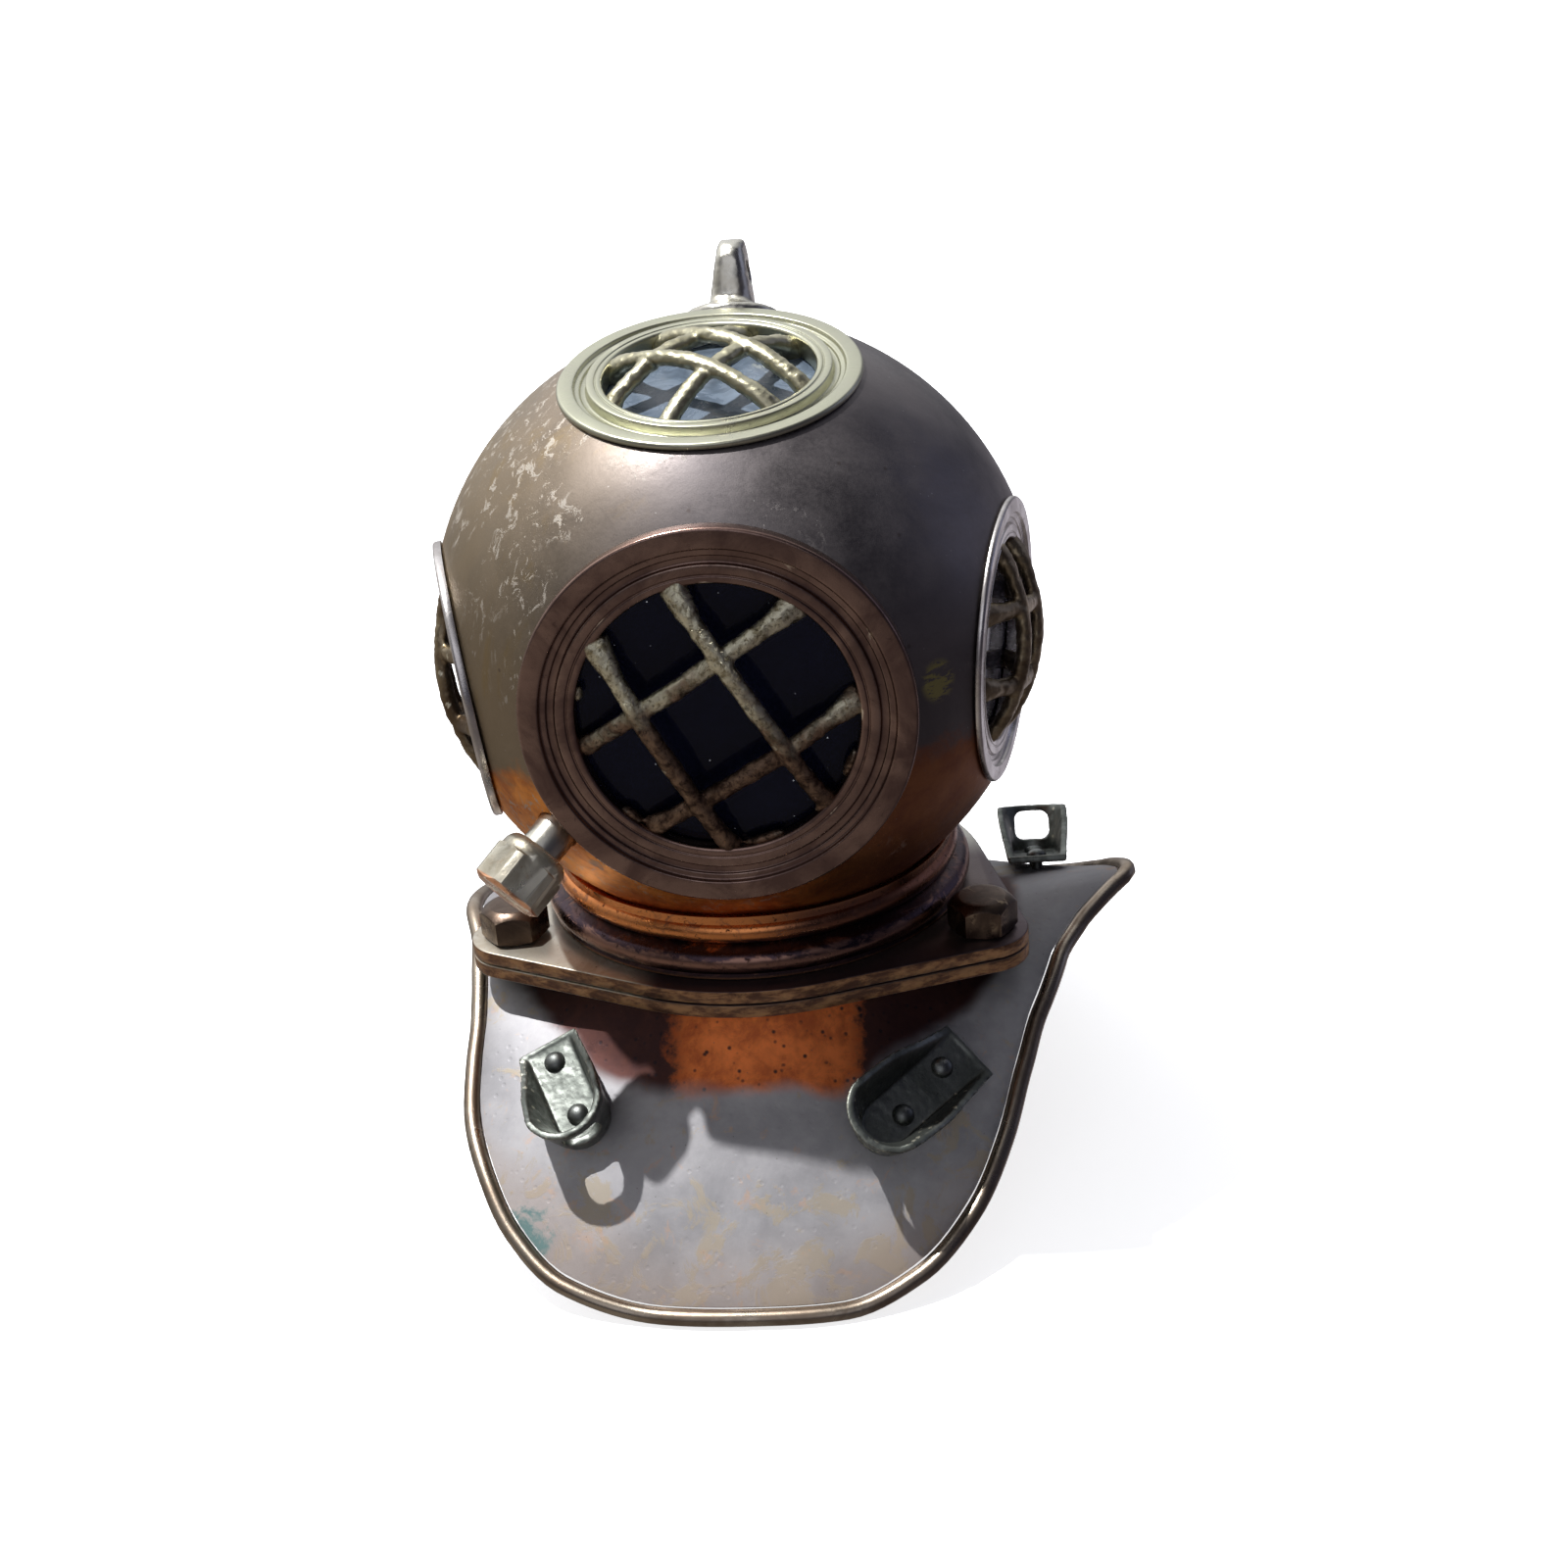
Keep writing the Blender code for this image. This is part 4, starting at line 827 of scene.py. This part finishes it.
def build_collar():
    foot_z = COLLAR_FOOT_Z
    lip_low, lip_high = NECK_CUT_Z - GAP, NECK_CUT_Z + 1.2
    lip_low_r = math.sqrt((BALL_R + GAP) ** 2 - lip_low ** 2)
    lip_high_r = math.sqrt((BALL_R + GAP) ** 2 - lip_high ** 2)
    profile = [(lip_low_r, lip_low), (lip_high_r, lip_high), (lip_high_r + 0.8, lip_high)]
    profile += arc((33.2, -40.7), 1.9, 60.0, -62.0, 12)
    profile += arc((34.8, -45.2), 2.2, 72.0, -52.0, 14)
    profile += [(36.3, foot_z), (FLANGE_BORE, foot_z), (FLANGE_BORE, lip_low)]
    collar = as_object("collar", spun(profile, 168, closed=True))
    piece(collar, BONNET, COLLAR_COPPER, ["neck_collar"], None, 48.0)


# ---------------------------------------------------------------- flanges and fasteners

def flange_outline(inset, height):
    """Convex outline round the neck disc and the three ears, drawn in by an inset."""
    discs = [(on_circle(distance, turn), radius - inset) for distance, radius,
             turn in FLANGE_DISCS]
    outline = []
    for turn in range(360):
        way = on_circle(1.0, turn)
        centre, radius = max(discs, key=lambda disc: disc[0].dot(way) + disc[1])
        point = centre + way * radius
        outline.append((point.x, point.y, height))
    return outline


def build_flange(name, top, body):
    low = top - FLANGE_THICK
    lip = -0.33 if body == BONNET else 0.33
    if lip > 0:
        top, low = low, top
    far = low + lip
    way = math.copysign(1.0, lip)
    loops = [flange_outline(0.26, top), flange_outline(0.07, top + 0.07 * way),
             flange_outline(0.0, top + 0.24 * way), flange_outline(0.0, far - 0.14 * way),
             flange_outline(0.12, far), flange_outline(0.5, far), flange_outline(0.56, low)]
    top, low = max(top, low), min(top, low)
    plate = as_object(f"{name}_plate", lofted(loops))
    boolean(plate, rod(FLANGE_BORE, low - 2, top + 2, 120))
    for distance, _, turn in FLANGE_DISCS[1:]:
        hole = rod(BOLT_HOLE_R, low - 2, top + 2, 40)
        boolean(plate, moved(hole, Matrix.Translation(on_circle(distance, turn))))
    piece(plate, body, PLATE_BRASS, [name], None, 50.0)


def hexagon(flats, height, corner_cut=0.0, turn=0.0):
    """Hexagon loop; a corner cut makes each corner a narrow flat of that half width."""
    points = []
    for side in range(6):
        way = math.tau * side / 6 + turn
        corner = Vector((math.cos(way), math.sin(way), 0.0)) * flats / math.sqrt(3)
        if corner_cut <= 0:
            points.append(corner + UP * height)
            continue
        for sign in (-1, 1):
            tangent = Vector((-math.sin(way), math.cos(way), 0.0))
            flat_way = way + sign * math.pi / 6
            step = Vector((math.cos(flat_way), math.sin(flat_way), 0.0))
            slide = tangent * sign - step * tangent.dot(step) * sign
            points.append(corner + slide.normalized() * corner_cut + UP * height)
    return points


def build_bolt(name, joint):
    place = Matrix.Translation((Vector(joint["pos_m"]) - CENTRE) / MM)
    place = place @ Matrix.Rotation(math.radians(8.0 if name == "left" else 0.0), 4, "Z")
    flats, high, base = 10.0, 5.8, FLANGE_GAP
    head = as_object(f"{name}_bolt_head", lofted([hexagon(flats, base),
                                                  hexagon(flats, high + 1.0)]))
    crown = [(0.0, base), (4.9, base), (5.78, base + 0.35), (5.78, high - 1.35),
             (5.2, high - 0.85),
             (4.55, high - 0.35), (3.9, high), (3.2, high + 0.02), (0.0, high)]
    boolean(head, spun(crown, 72), "INTERSECT")
    bevelled(head, 0.16, 2, 24.0)
    tip = -(2 * FLANGE_THICK + GASKET_THICK + 2 * FLANGE_GAP) + 0.2
    shank = as_object("shank", spun([(0, tip), (2.5, tip), (2.9, tip + 0.4), (2.9, base + 1.0),
                                     (0, base + 1.0)], 40))
    boolean(head, ([tuple(v.co) for v in shank.data.vertices],
                   [tuple(p.vertices) for p in shank.data.polygons]), "UNION")
    bpy.data.objects.remove(shank)
    piece(head, f"{name}_bolt", BOLT_BRONZE, [f"{name}_flange_bolt", f"{name}_bolt_shank"],
          place, 32.0)


def build_inlet():
    place = outward_frame(INLET_AXIS, INLET_ROOT)
    profile = [(2.1, -1.6), (3.4, -1.6), (3.4, 9.3), (3.1, 9.7), (2.1, 9.7)]
    spigot = as_object("inlet_tube", spun(eased(profile, 0.15, 2), 64, closed=True))
    piece(spigot, BONNET, FITTING_BRASS, ["inlet_spigot"], place, 40.0)

    nut = as_object("inlet_nut_body", lofted([hexagon(11.0, 6.0, 0.75),
                                              hexagon(11.0, 13.6, 0.75)]))
    turned = [(0.0, 6.0), (5.0, 6.0), (5.95, 6.7), (6.2, 7.2), (6.2, 12.2), (5.5, 12.75),
              (5.15, 13.0),
              (0.0, 13.0)]
    boolean(nut, spun(turned, 72), "INTERSECT")
    bevelled(nut, 0.14, 2, 20.0)
    collar = [(0.0, 4.0), (4.35, 4.0), (4.75, 4.2), (5.2, 4.75), (5.5, 5.4), (5.6, 6.1),
              (5.55, 6.9),
              (5.3, 7.6), (0.0, 7.6)]
    boolean(nut, spun(collar, 72), "UNION")
    boolean(nut, rod(3.7, 2.0, 11.0, 64))
    boolean(nut, spun([(0, 5.0), (2.3, 5.0), (2.3, 12.6), (2.75, 13.2), (2.75, 16.0), (0, 16.0)],
                      64))
    piece(nut, "inlet_nut", NUT_BRASS, ["inlet_union_nut"], place, 28.0)


def build_lug():
    foot = [(0.0, ball_height(0.0, GAP)), (4.0, ball_height(4.0, GAP)),
            (8.0, ball_height(8.0, GAP)),
            (8.1, 50.9), (7.5, 51.7), (6.4, 52.05), (4.6, 52.3), (0.0, 52.6)]
    base = spun(foot, 64)
    loops = []
    for step in range(25):
        share = step / 24
        height = 51.2 + share * (63.9 - 51.2)
        over = max(0.0, height - 59.0)
        wide = math.sqrt(max(0.0, 5.0 ** 2 - over ** 2)) if over else 5.0
        wide = max(wide, 0.7) + 1.6 * max(0.0, 0.16 - share) / 0.16
        thick = 3.8 + (2.1 - 3.8) * max(0.0, (height - 52.0) / 12.0)
        thick += 1.4 * max(0.0, 0.12 - share) / 0.12
        loop = []
        for side in range(40):
            angle = math.tau * side / 40
            c, s = math.cos(angle), math.sin(angle)
            loop.append((thick * math.copysign(abs(c) ** 0.55, c),
                         wide * math.copysign(abs(s) ** 0.7, s),
                         height))
        loops.append(loop)
    lug = as_object("lug", joined(base, lofted(loops)))
    cast(lug, 0.3, 4, 0.0, 0.5, 3)
    eye = rod(2.1, -12.0, 12.0, 48)
    boolean(lug, moved(eye, Matrix.Translation((0, 0, 58.4)) @ Matrix.Rotation(math.pi / 2, 4,
                                                                               "Y")))
    cast(lug, 0.28, 3, 0.09, 0.6, 5)
    piece(lug, BONNET, FITTING_BRASS, ["crown_lug"], outward_frame(LUG_AXIS),
          80.0)


# ---------------------------------------------------------------- corselet

def smooth_through(points, column, position):
    """Monotone cubic through rows of (position, value, value)."""
    spans = [(a[0], b[0], a[column], b[column]) for a, b in zip(points, points[1:])]
    slopes = [(v1 - v0) / (x1 - x0) for x0, x1, v0, v1 in spans]
    tangents = [0.0]
    for before, after in zip(slopes, slopes[1:]):
        same_way = before * after > 0
        tangents.append(2 * before * after / (before + after) if same_way else 0.0)
    tangents.append(0.0)
    for index, (x0, x1, v0, v1) in enumerate(spans):
        if position <= x1 or index == len(spans) - 1:
            width = x1 - x0
            t = (position - x0) / width
            return ((1 + 2 * t) * (1 - t) ** 2 * v0 + t * (1 - t) ** 2 * width * tangents[index]
                    + t * t * (3 - 2 * t) * v1 + t * t * (t - 1) * width * tangents[index + 1])


def rim_point(turn):
    wrapped = (turn + 180.0) % 360.0 - 180.0
    table = RIM_RIGHT if wrapped > 0 else RIM_LEFT
    point = on_circle(smooth_through(table, 1, abs(wrapped)), wrapped)
    point.z = smooth_through(table, 2, abs(wrapped))
    return point


def rim_direction(turn, step=CAD_STEP):
    return (rim_point(turn + step) - rim_point(turn - step)).normalized()


def bezier(start, middle, end, t):
    return start * (1 - t) ** 2 + middle * 2 * t * (1 - t) + end * t * t


def sheet_line(turn, neck_steps=10, bib_steps=22):
    """Outer surface of the sheet along one azimuth, from the neck to the rim."""
    sideways = math.sin(math.radians(turn)) ** 2
    crease_r = CREASE_FRONT[0] + (CREASE_SIDE[0] - CREASE_FRONT[0]) * sideways
    crease_z = CREASE_FRONT[1] + (CREASE_SIDE[1] - CREASE_FRONT[1]) * sideways
    top = on_circle(NECK_TOP_R, turn) + UP * NECK_TOP_Z
    crease = on_circle(crease_r, turn) + UP * crease_z
    waist = on_circle(NECK_TOP_R + 1.6, turn)
    waist.z = NECK_TOP_Z + (crease_z - NECK_TOP_Z) * 0.45
    rim = rim_point(turn)
    middle = (crease + rim) / 2 + UP * BIB_BULGE
    inward = (middle - rim).normalized()
    edge = rim + inward * (BEAD_R + 0.12) / inward.cross(rim_direction(turn)).length
    line = [bezier(top, waist, crease, step / neck_steps) for step in range(neck_steps)]
    return line + [bezier(crease, middle, edge, step / bib_steps) for step in range(bib_steps + 1)]


def cad_line(turn):
    """The CAD sheet's own line: brackets and rivets stand where it puts them."""
    return sheet_line(turn, 2, 5)


def build_corselet():
    lines = [sheet_line(turn) for turn in range(-180, 180, 2)]
    rows, count = len(lines), len(lines[0])
    verts = [tuple(point) for line in lines for point in line]
    faces = [(row * count + i, row * count + i + 1, (row + 1) % rows * count + i + 1,
              (row + 1) % rows * count + i) for row in range(rows) for i in range(count - 1)]
    sheet = as_object("corselet_sheet", (verts, faces))
    up = sum(p.normal.z for p in sheet.data.polygons)
    if up < 0:
        sheet.data.flip_normals()
    for vertex in sheet.data.vertices:
        vertex.co += vertex.normal * 0.12 * noise.noise(vertex.co * 0.08)
    solidified(sheet, SHEET_THICK)
    piece(sheet, CORSELET, CORSELET_COPPER, ["corselet"], None, 50.0)


def build_bead():
    loops = []
    tall = BEAD_R * math.sin(math.tau / 6)
    for step in range(240):
        turn = -180.0 + 1.5 * step
        centre, forward = rim_point(turn), rim_direction(turn, 3)
        up = (UP - forward * forward.z).normalized()
        across = forward.cross(up)
        swell = 1.0 - 0.05 * (1 + noise.noise(centre * 0.13)) / 2
        loops.append([centre + across * (BEAD_R * swell * math.cos(math.tau * side / 20))
                      + up * (tall * math.sin(math.tau * side / 20)) for side in range(20)])
    bead = as_object("rim_bead", lofted(loops, closed=True))
    piece(bead, CORSELET, BEAD_BRASS, ["corselet_rim_bead"], None, 80.0)


# ---------------------------------------------------------------- brackets

def sheet_at(turn, radius):
    line = cad_line(turn)
    for low, high in zip(line, line[1:]):
        low_r, high_r = math.hypot(low.x, low.y), math.hypot(high.x, high.y)
        if radius <= high_r:
            return low.lerp(high, (radius - low_r) / (high_r - low_r))
    return line[-1]


def bracket_frame(place):
    """Local X runs through both rivets down the sheet, local Z stands off the sheet."""
    turn, radius = place["turn"], place["radius"]
    upper = sheet_at(turn, radius)
    lower = upper
    for _ in range(4):
        level = math.sqrt(RIVET_SPACING ** 2 - (upper.z - lower.z) ** 2)
        plan = on_circle(radius, turn) + on_circle(level, place["heading"])
        lower = sheet_at(math.degrees(math.atan2(plan.x, -plan.y)), math.hypot(plan.x, plan.y))
    outward = sheet_at(turn, radius + 4) - sheet_at(turn, radius - 2)
    sideways = sheet_at(turn + 4, radius) - sheet_at(turn - 4, radius)
    along = (lower - upper).normalized()
    normal = sideways.cross(outward)
    normal = normal if normal.z > 0 else -normal
    normal = (normal - along * normal.dot(along)).normalized()
    return Matrix.Translation(upper) @ Matrix((along, normal.cross(along),
                                               normal)).transposed().to_4x4()


def scoop_outline(half_wide, long, start):
    """U outline in plan: down one side, round the end and back, with points all along."""
    straight = [start + (long - half_wide - start) * step / 10 for step in range(10)]
    end = arc((long - half_wide, 0.0), half_wide, -90.0, 90.0, 24)
    return [(x, -half_wide) for x in straight] + end + [(x, half_wide) for x in reversed(straight)]


def build_bracket(name, place, seed):
    matrix = bracket_frame(place)
    middle = Matrix.Translation((RIVET_SPACING / 2, 0.0, 0.0))
    twist = middle @ Matrix.Rotation(math.radians(place["twist"]), 4, "Z") @ middle.inverted()
    base, lift, long, high = -place["margin"], place["lift"], place["long"], place["high"]
    wall = BRACKET_WALL
    foot = scoop_outline(BRACKET_HALF_WIDE, long, 0.0)
    inner_foot = scoop_outline(BRACKET_HALF_WIDE - wall, long - wall, 0.8)
    levels = 8
    outer = [[Vector((x + base, y, lift)) for x, y in foot]]
    inner = []
    for level in range(levels + 1):
        rise = level / levels
        outer_loop, inner_loop = [], []
        for (x, y), (inner_x, inner_y) in zip(foot, inner_foot):
            share = max(0.0, min(1.0, x / (long - BRACKET_HALF_WIDE)))
            full = BRACKET_FLOOR + (high - BRACKET_FLOOR) * share ** 1.2 + 0.15
            height = full * rise
            lean = place["flare"] * height / high
            away = Vector((x - long / 2, y, 0.0)) if x > long / 2 else Vector((0.0, y, 0.0))
            push = away.normalized() * lean
            outer_loop.append(Vector((x + base, y, lift + height)) + push)
            inner_height = BRACKET_FLOOR + (full - BRACKET_FLOOR) * rise
            inner_push = away.normalized() * place["flare"] * inner_height / high * rise
            inner_loop.append(Vector((inner_x + base, inner_y, lift + inner_height)) + inner_push)
        if level:
            outer.append(outer_loop)
        inner.append(inner_loop)
    scoop = as_object(f"{name}_scoop", lofted(outer + inner[::-1]))
    half_wide, half_high, corner = 3.2, 2.65, 1.6
    eye = []
    for quarter, (sy, sz) in enumerate(((1, 1), (-1, 1), (-1, -1), (1, -1))):
        centre = (sy * (half_wide - corner), lift + 6.0 + sz * (half_high - corner))
        eye += arc(centre, corner, 90.0 * quarter, 90.0 * quarter + 90.0, 6)
    end = base + long
    boolean(scoop, lofted([[(x, y, z) for y, z in eye] for x in (end - 5.0, end + 6.0)]))
    cast(scoop, 0.27, 3, 0.07, 0.8, seed)
    piece(scoop, CORSELET, CAST_BRASS, [f"{name}_bracket"], matrix @ twist, 80.0)
    for label, along in (("upper", 0.0), ("lower", RIVET_SPACING)):
        head, tail = lift + BRACKET_FLOOR + 0.1, -SHEET_THICK - 0.7
        profile = [(0, head + 1.15), (0.6, head + 1.1), (1.1, head + 0.92), (1.5, head + 0.62),
                   (1.75, head + 0.25), (1.8, head), (1.0, head), (1.0, tail), (1.8, tail),
                   (1.8, tail - 0.4), (1.5, tail - 0.6), (0, tail - 0.6)]
        rivet = as_object(f"{name}_{label}_rivet_head", spun(profile, 36))
        piece(rivet, CORSELET, RIVET_BRONZE, [f"{name}_{label}_rivet"],
              matrix @ Matrix.Translation((along, 0, 0)), 45.0)


# ---------------------------------------------------------------- build

JOINTS = {joint["name"]: joint for joint in frame["joints"]}
GRILLE_FINISH = {"front": FRONT_GRILLE_BRASS, "top": TOP_GRILLE_BRASS, "left": GRILLE_BRASS,
                 "right": GRILLE_BRASS}
GLASS_FINISH = {"front": DARK_GLASS, "top": DUSTY_GLASS, "left": SIDE_GLASS, "right": SIDE_GLASS}
RING_FINISH = {"front": FRONT_BRONZE, "top": TOP_BRASS, "left": SIDE_BRASS, "right": SIDE_BRASS}
build_ball()
for seed, (name, window) in enumerate(WINDOWS.items()):
    build_ring(name, window, RING_FINISH[name])
    build_glass(name, window, GLASS_FINISH[name])
    build_grille(name, window, GRILLE_FINISH[name], seed * 5 + 1)
build_collar()
build_lug()
build_inlet()
build_flange("bonnet_flange", FLANGE_TOP_Z, BONNET)
build_flange("corselet_flange", FLANGE_TOP_Z - FLANGE_THICK - GASKET_THICK - 2 * FLANGE_GAP,
             CORSELET)
for name in ("left", "right", "rear"):
    build_bolt(name, JOINTS[f"{name}_bolt_turn"])
build_corselet()
build_bead()
for seed, (name, place) in enumerate(BRACKETS.items()):
    build_bracket(name, place, seed + 20)

CARRIED = {"flange_gasket": GASKET, "inlet_washer": FIBRE, "front_glass_retainer": INNER_BRASS,
           "top_glass_retainer": INNER_BRASS, "left_glass_retainer": INNER_BRASS,
           "right_glass_retainer": INNER_BRASS}
for node, material in CARRIED.items():
    item = frame["nodes"][node]
    item.data.materials.clear()
    item.data.materials.append(material)


# ---------------------------------------------------------------- stage

STAGE_HALF = 6.0
KEY_STRENGTH, KEY_SPREAD, KEY_DIRECTION = 4.3, 1.2, (0.36, -0.10, -1.0)
SENSOR_WIDTH, LENS = 36.0, 48.44
CAMERA_AT = (33.24, -330.02, 120.39)
CAMERA_AXES = ((0.99608, 0.05001, -0.07295), (0.04546, 0.41794, 0.90733),
               (0.07586, -0.90710, 0.41403))


def studio_dome():
    """Soft light from above, stronger at the back left, over a dim lower half."""
    world = bpy.data.worlds.new("studio")
    world.use_nodes = True
    nodes, links = world.node_tree.nodes, world.node_tree.links

    def ramp(source, low, high, dark, bright):
        node = nodes.new("ShaderNodeMapRange")
        node.data_type, node.interpolation_type = "FLOAT_VECTOR", "SMOOTHSTEP"
        links.new(source, node.inputs["Vector"])
        for key, value in (("From_Min_FLOAT3", (low,) * 3), ("From_Max_FLOAT3", (high,) * 3),
                           ("To_Min_FLOAT3", dark), ("To_Max_FLOAT3", bright)):
            next(i for i in node.inputs if i.identifier == key).default_value = value
        return node.outputs["Vector"]

    way = nodes.new("ShaderNodeTexCoord").outputs["Generated"]
    split = nodes.new("ShaderNodeSeparateXYZ")
    links.new(way, split.inputs[0])

    def area(direction, low, high, dark, bright):
        toward = nodes.new("ShaderNodeVectorMath")
        toward.operation = "DOT_PRODUCT"
        links.new(way, toward.inputs[0])
        toward.inputs[1].default_value = Vector(direction).normalized()
        return ramp(toward.outputs["Value"], low, high, dark, bright)

    def total(first, second):
        node = nodes.new("ShaderNodeVectorMath")
        links.new(first, node.inputs[0])
        links.new(second, node.inputs[1])
        return node.outputs["Vector"]

    black = (0.0, 0.0, 0.0)
    sky = area((-0.28, 0.72, 0.64), 0.45, 0.97, (0.03, 0.03, 0.045), (0.84, 0.86, 0.90))
    sky = total(sky, area((-0.80, 0.20, 0.56), 0.55, 0.98, black, (0.34, 0.34, 0.33)))
    sky = total(sky, area((0.86, 0.42, 0.30), 0.88, 0.98, black, (0.22, 0.24, 0.34)))
    sky = total(sky, area((-0.10, -0.80, 0.60), 0.84, 0.99, black, (0.62, 0.63, 0.68)))
    ground = ramp(split.outputs["X"], -1.0, 1.0, (0.32, 0.29, 0.26), (0.08, 0.07, 0.08))
    ground = total(ground, area((0.45, 0.79, -0.41), 0.80, 0.97, black, (0.36, 0.35, 0.40)))
    above = ramp(split.outputs["Z"], -0.2, 0.1, black, (1.0, 1.0, 1.0))
    mix = nodes.new("ShaderNodeMix")
    mix.data_type = "VECTOR"
    mix.factor_mode = "NON_UNIFORM"
    by_name = {socket.identifier: socket for socket in mix.inputs}
    links.new(above, by_name["Factor_Vector"])
    links.new(ground, by_name["A_Vector"])
    links.new(sky, by_name["B_Vector"])
    result = next(o for o in mix.outputs if o.identifier == "Result_Vector")
    links.new(result, nodes["Background"].inputs["Color"])
    return world


def stage_paint(name, base, glow):
    paint = bpy.data.materials.new(name)
    paint.use_nodes = True
    shader = paint.node_tree.nodes["Principled BSDF"]
    shader.inputs["Base Color"].default_value = base
    shader.inputs["Emission Color"].default_value = (1.0, 1.0, 1.0, 1.0)
    shader.inputs["Emission Strength"].default_value = glow
    return paint, shader


def add_backdrop(radius):
    """A pale dome that only the camera sees, so that every view ends in the same white."""
    turns, rises = 48, 12
    points = []
    for rise in range(rises):
        up = math.pi / 2 * rise / rises
        for turn in range(turns):
            angle = math.tau * turn / turns
            points.append((radius * math.cos(angle) * math.cos(up),
                           radius * math.sin(angle) * math.cos(up), radius * math.sin(up)))
    points.append((0.0, 0.0, radius))
    faces = []
    for row in range(0, rises * turns, turns):
        for turn in range(turns):
            low, after = row + turn, row + (turn + 1) % turns
            top = row == (rises - 1) * turns
            faces.append((low, after, len(points) - 1) if top
                         else (low, after, after + turns, low + turns))
    dome = linked("backdrop", bpy.data.meshes.new("backdrop"))
    dome.data.from_pydata(points, [], faces)
    dome.data.materials.append(stage_paint("backdrop_white", (0.0, 0.0, 0.0, 1.0), 1.0)[0])
    dome.visible_diffuse = dome.visible_glossy = dome.visible_transmission = False
    dome.visible_shadow = False
    return dome


def add_floor(half):
    floor = linked("floor", bpy.data.meshes.new("floor"))
    floor.data.from_pydata([(-half, -half, 0), (half, -half, 0), (half, half, 0),
                            (-half, half, 0)],
                           [], [(0, 1, 2, 3)])
    paint, shader = stage_paint("floor_white", (0.86, 0.86, 0.87, 1.0), 0.75)
    shader.inputs["Roughness"].default_value = 0.9
    shader.inputs["Specular IOR Level"].default_value = 0.1
    floor.data.materials.append(paint)
    floor.visible_glossy = False
    return floor


def add_key_light():
    sun = bpy.data.lights.new("key", "SUN")
    sun.energy, sun.angle = KEY_STRENGTH, math.radians(KEY_SPREAD)
    key = linked("key", sun)
    key.rotation_mode = "QUATERNION"
    key.rotation_quaternion = Vector(KEY_DIRECTION).to_track_quat("-Z", "Y")


def add_camera():
    camera = linked("camera", bpy.data.cameras.new("camera"))
    camera.data.sensor_width, camera.data.lens = SENSOR_WIDTH, LENS
    camera.data.clip_start, camera.data.clip_end = 0.02, 20.0
    turn = Matrix(CAMERA_AXES).transposed().to_4x4()
    camera.matrix_world = Matrix.Translation(CENTRE + Vector(CAMERA_AT) * MM) @ turn
    bpy.context.scene.camera = camera


add_floor(STAGE_HALF)
add_backdrop(STAGE_HALF)
bpy.context.scene.world = studio_dome()
add_key_light()
add_camera()
bpy.context.scene.view_settings.view_transform = "Standard"

bpy.context.view_layer.update()
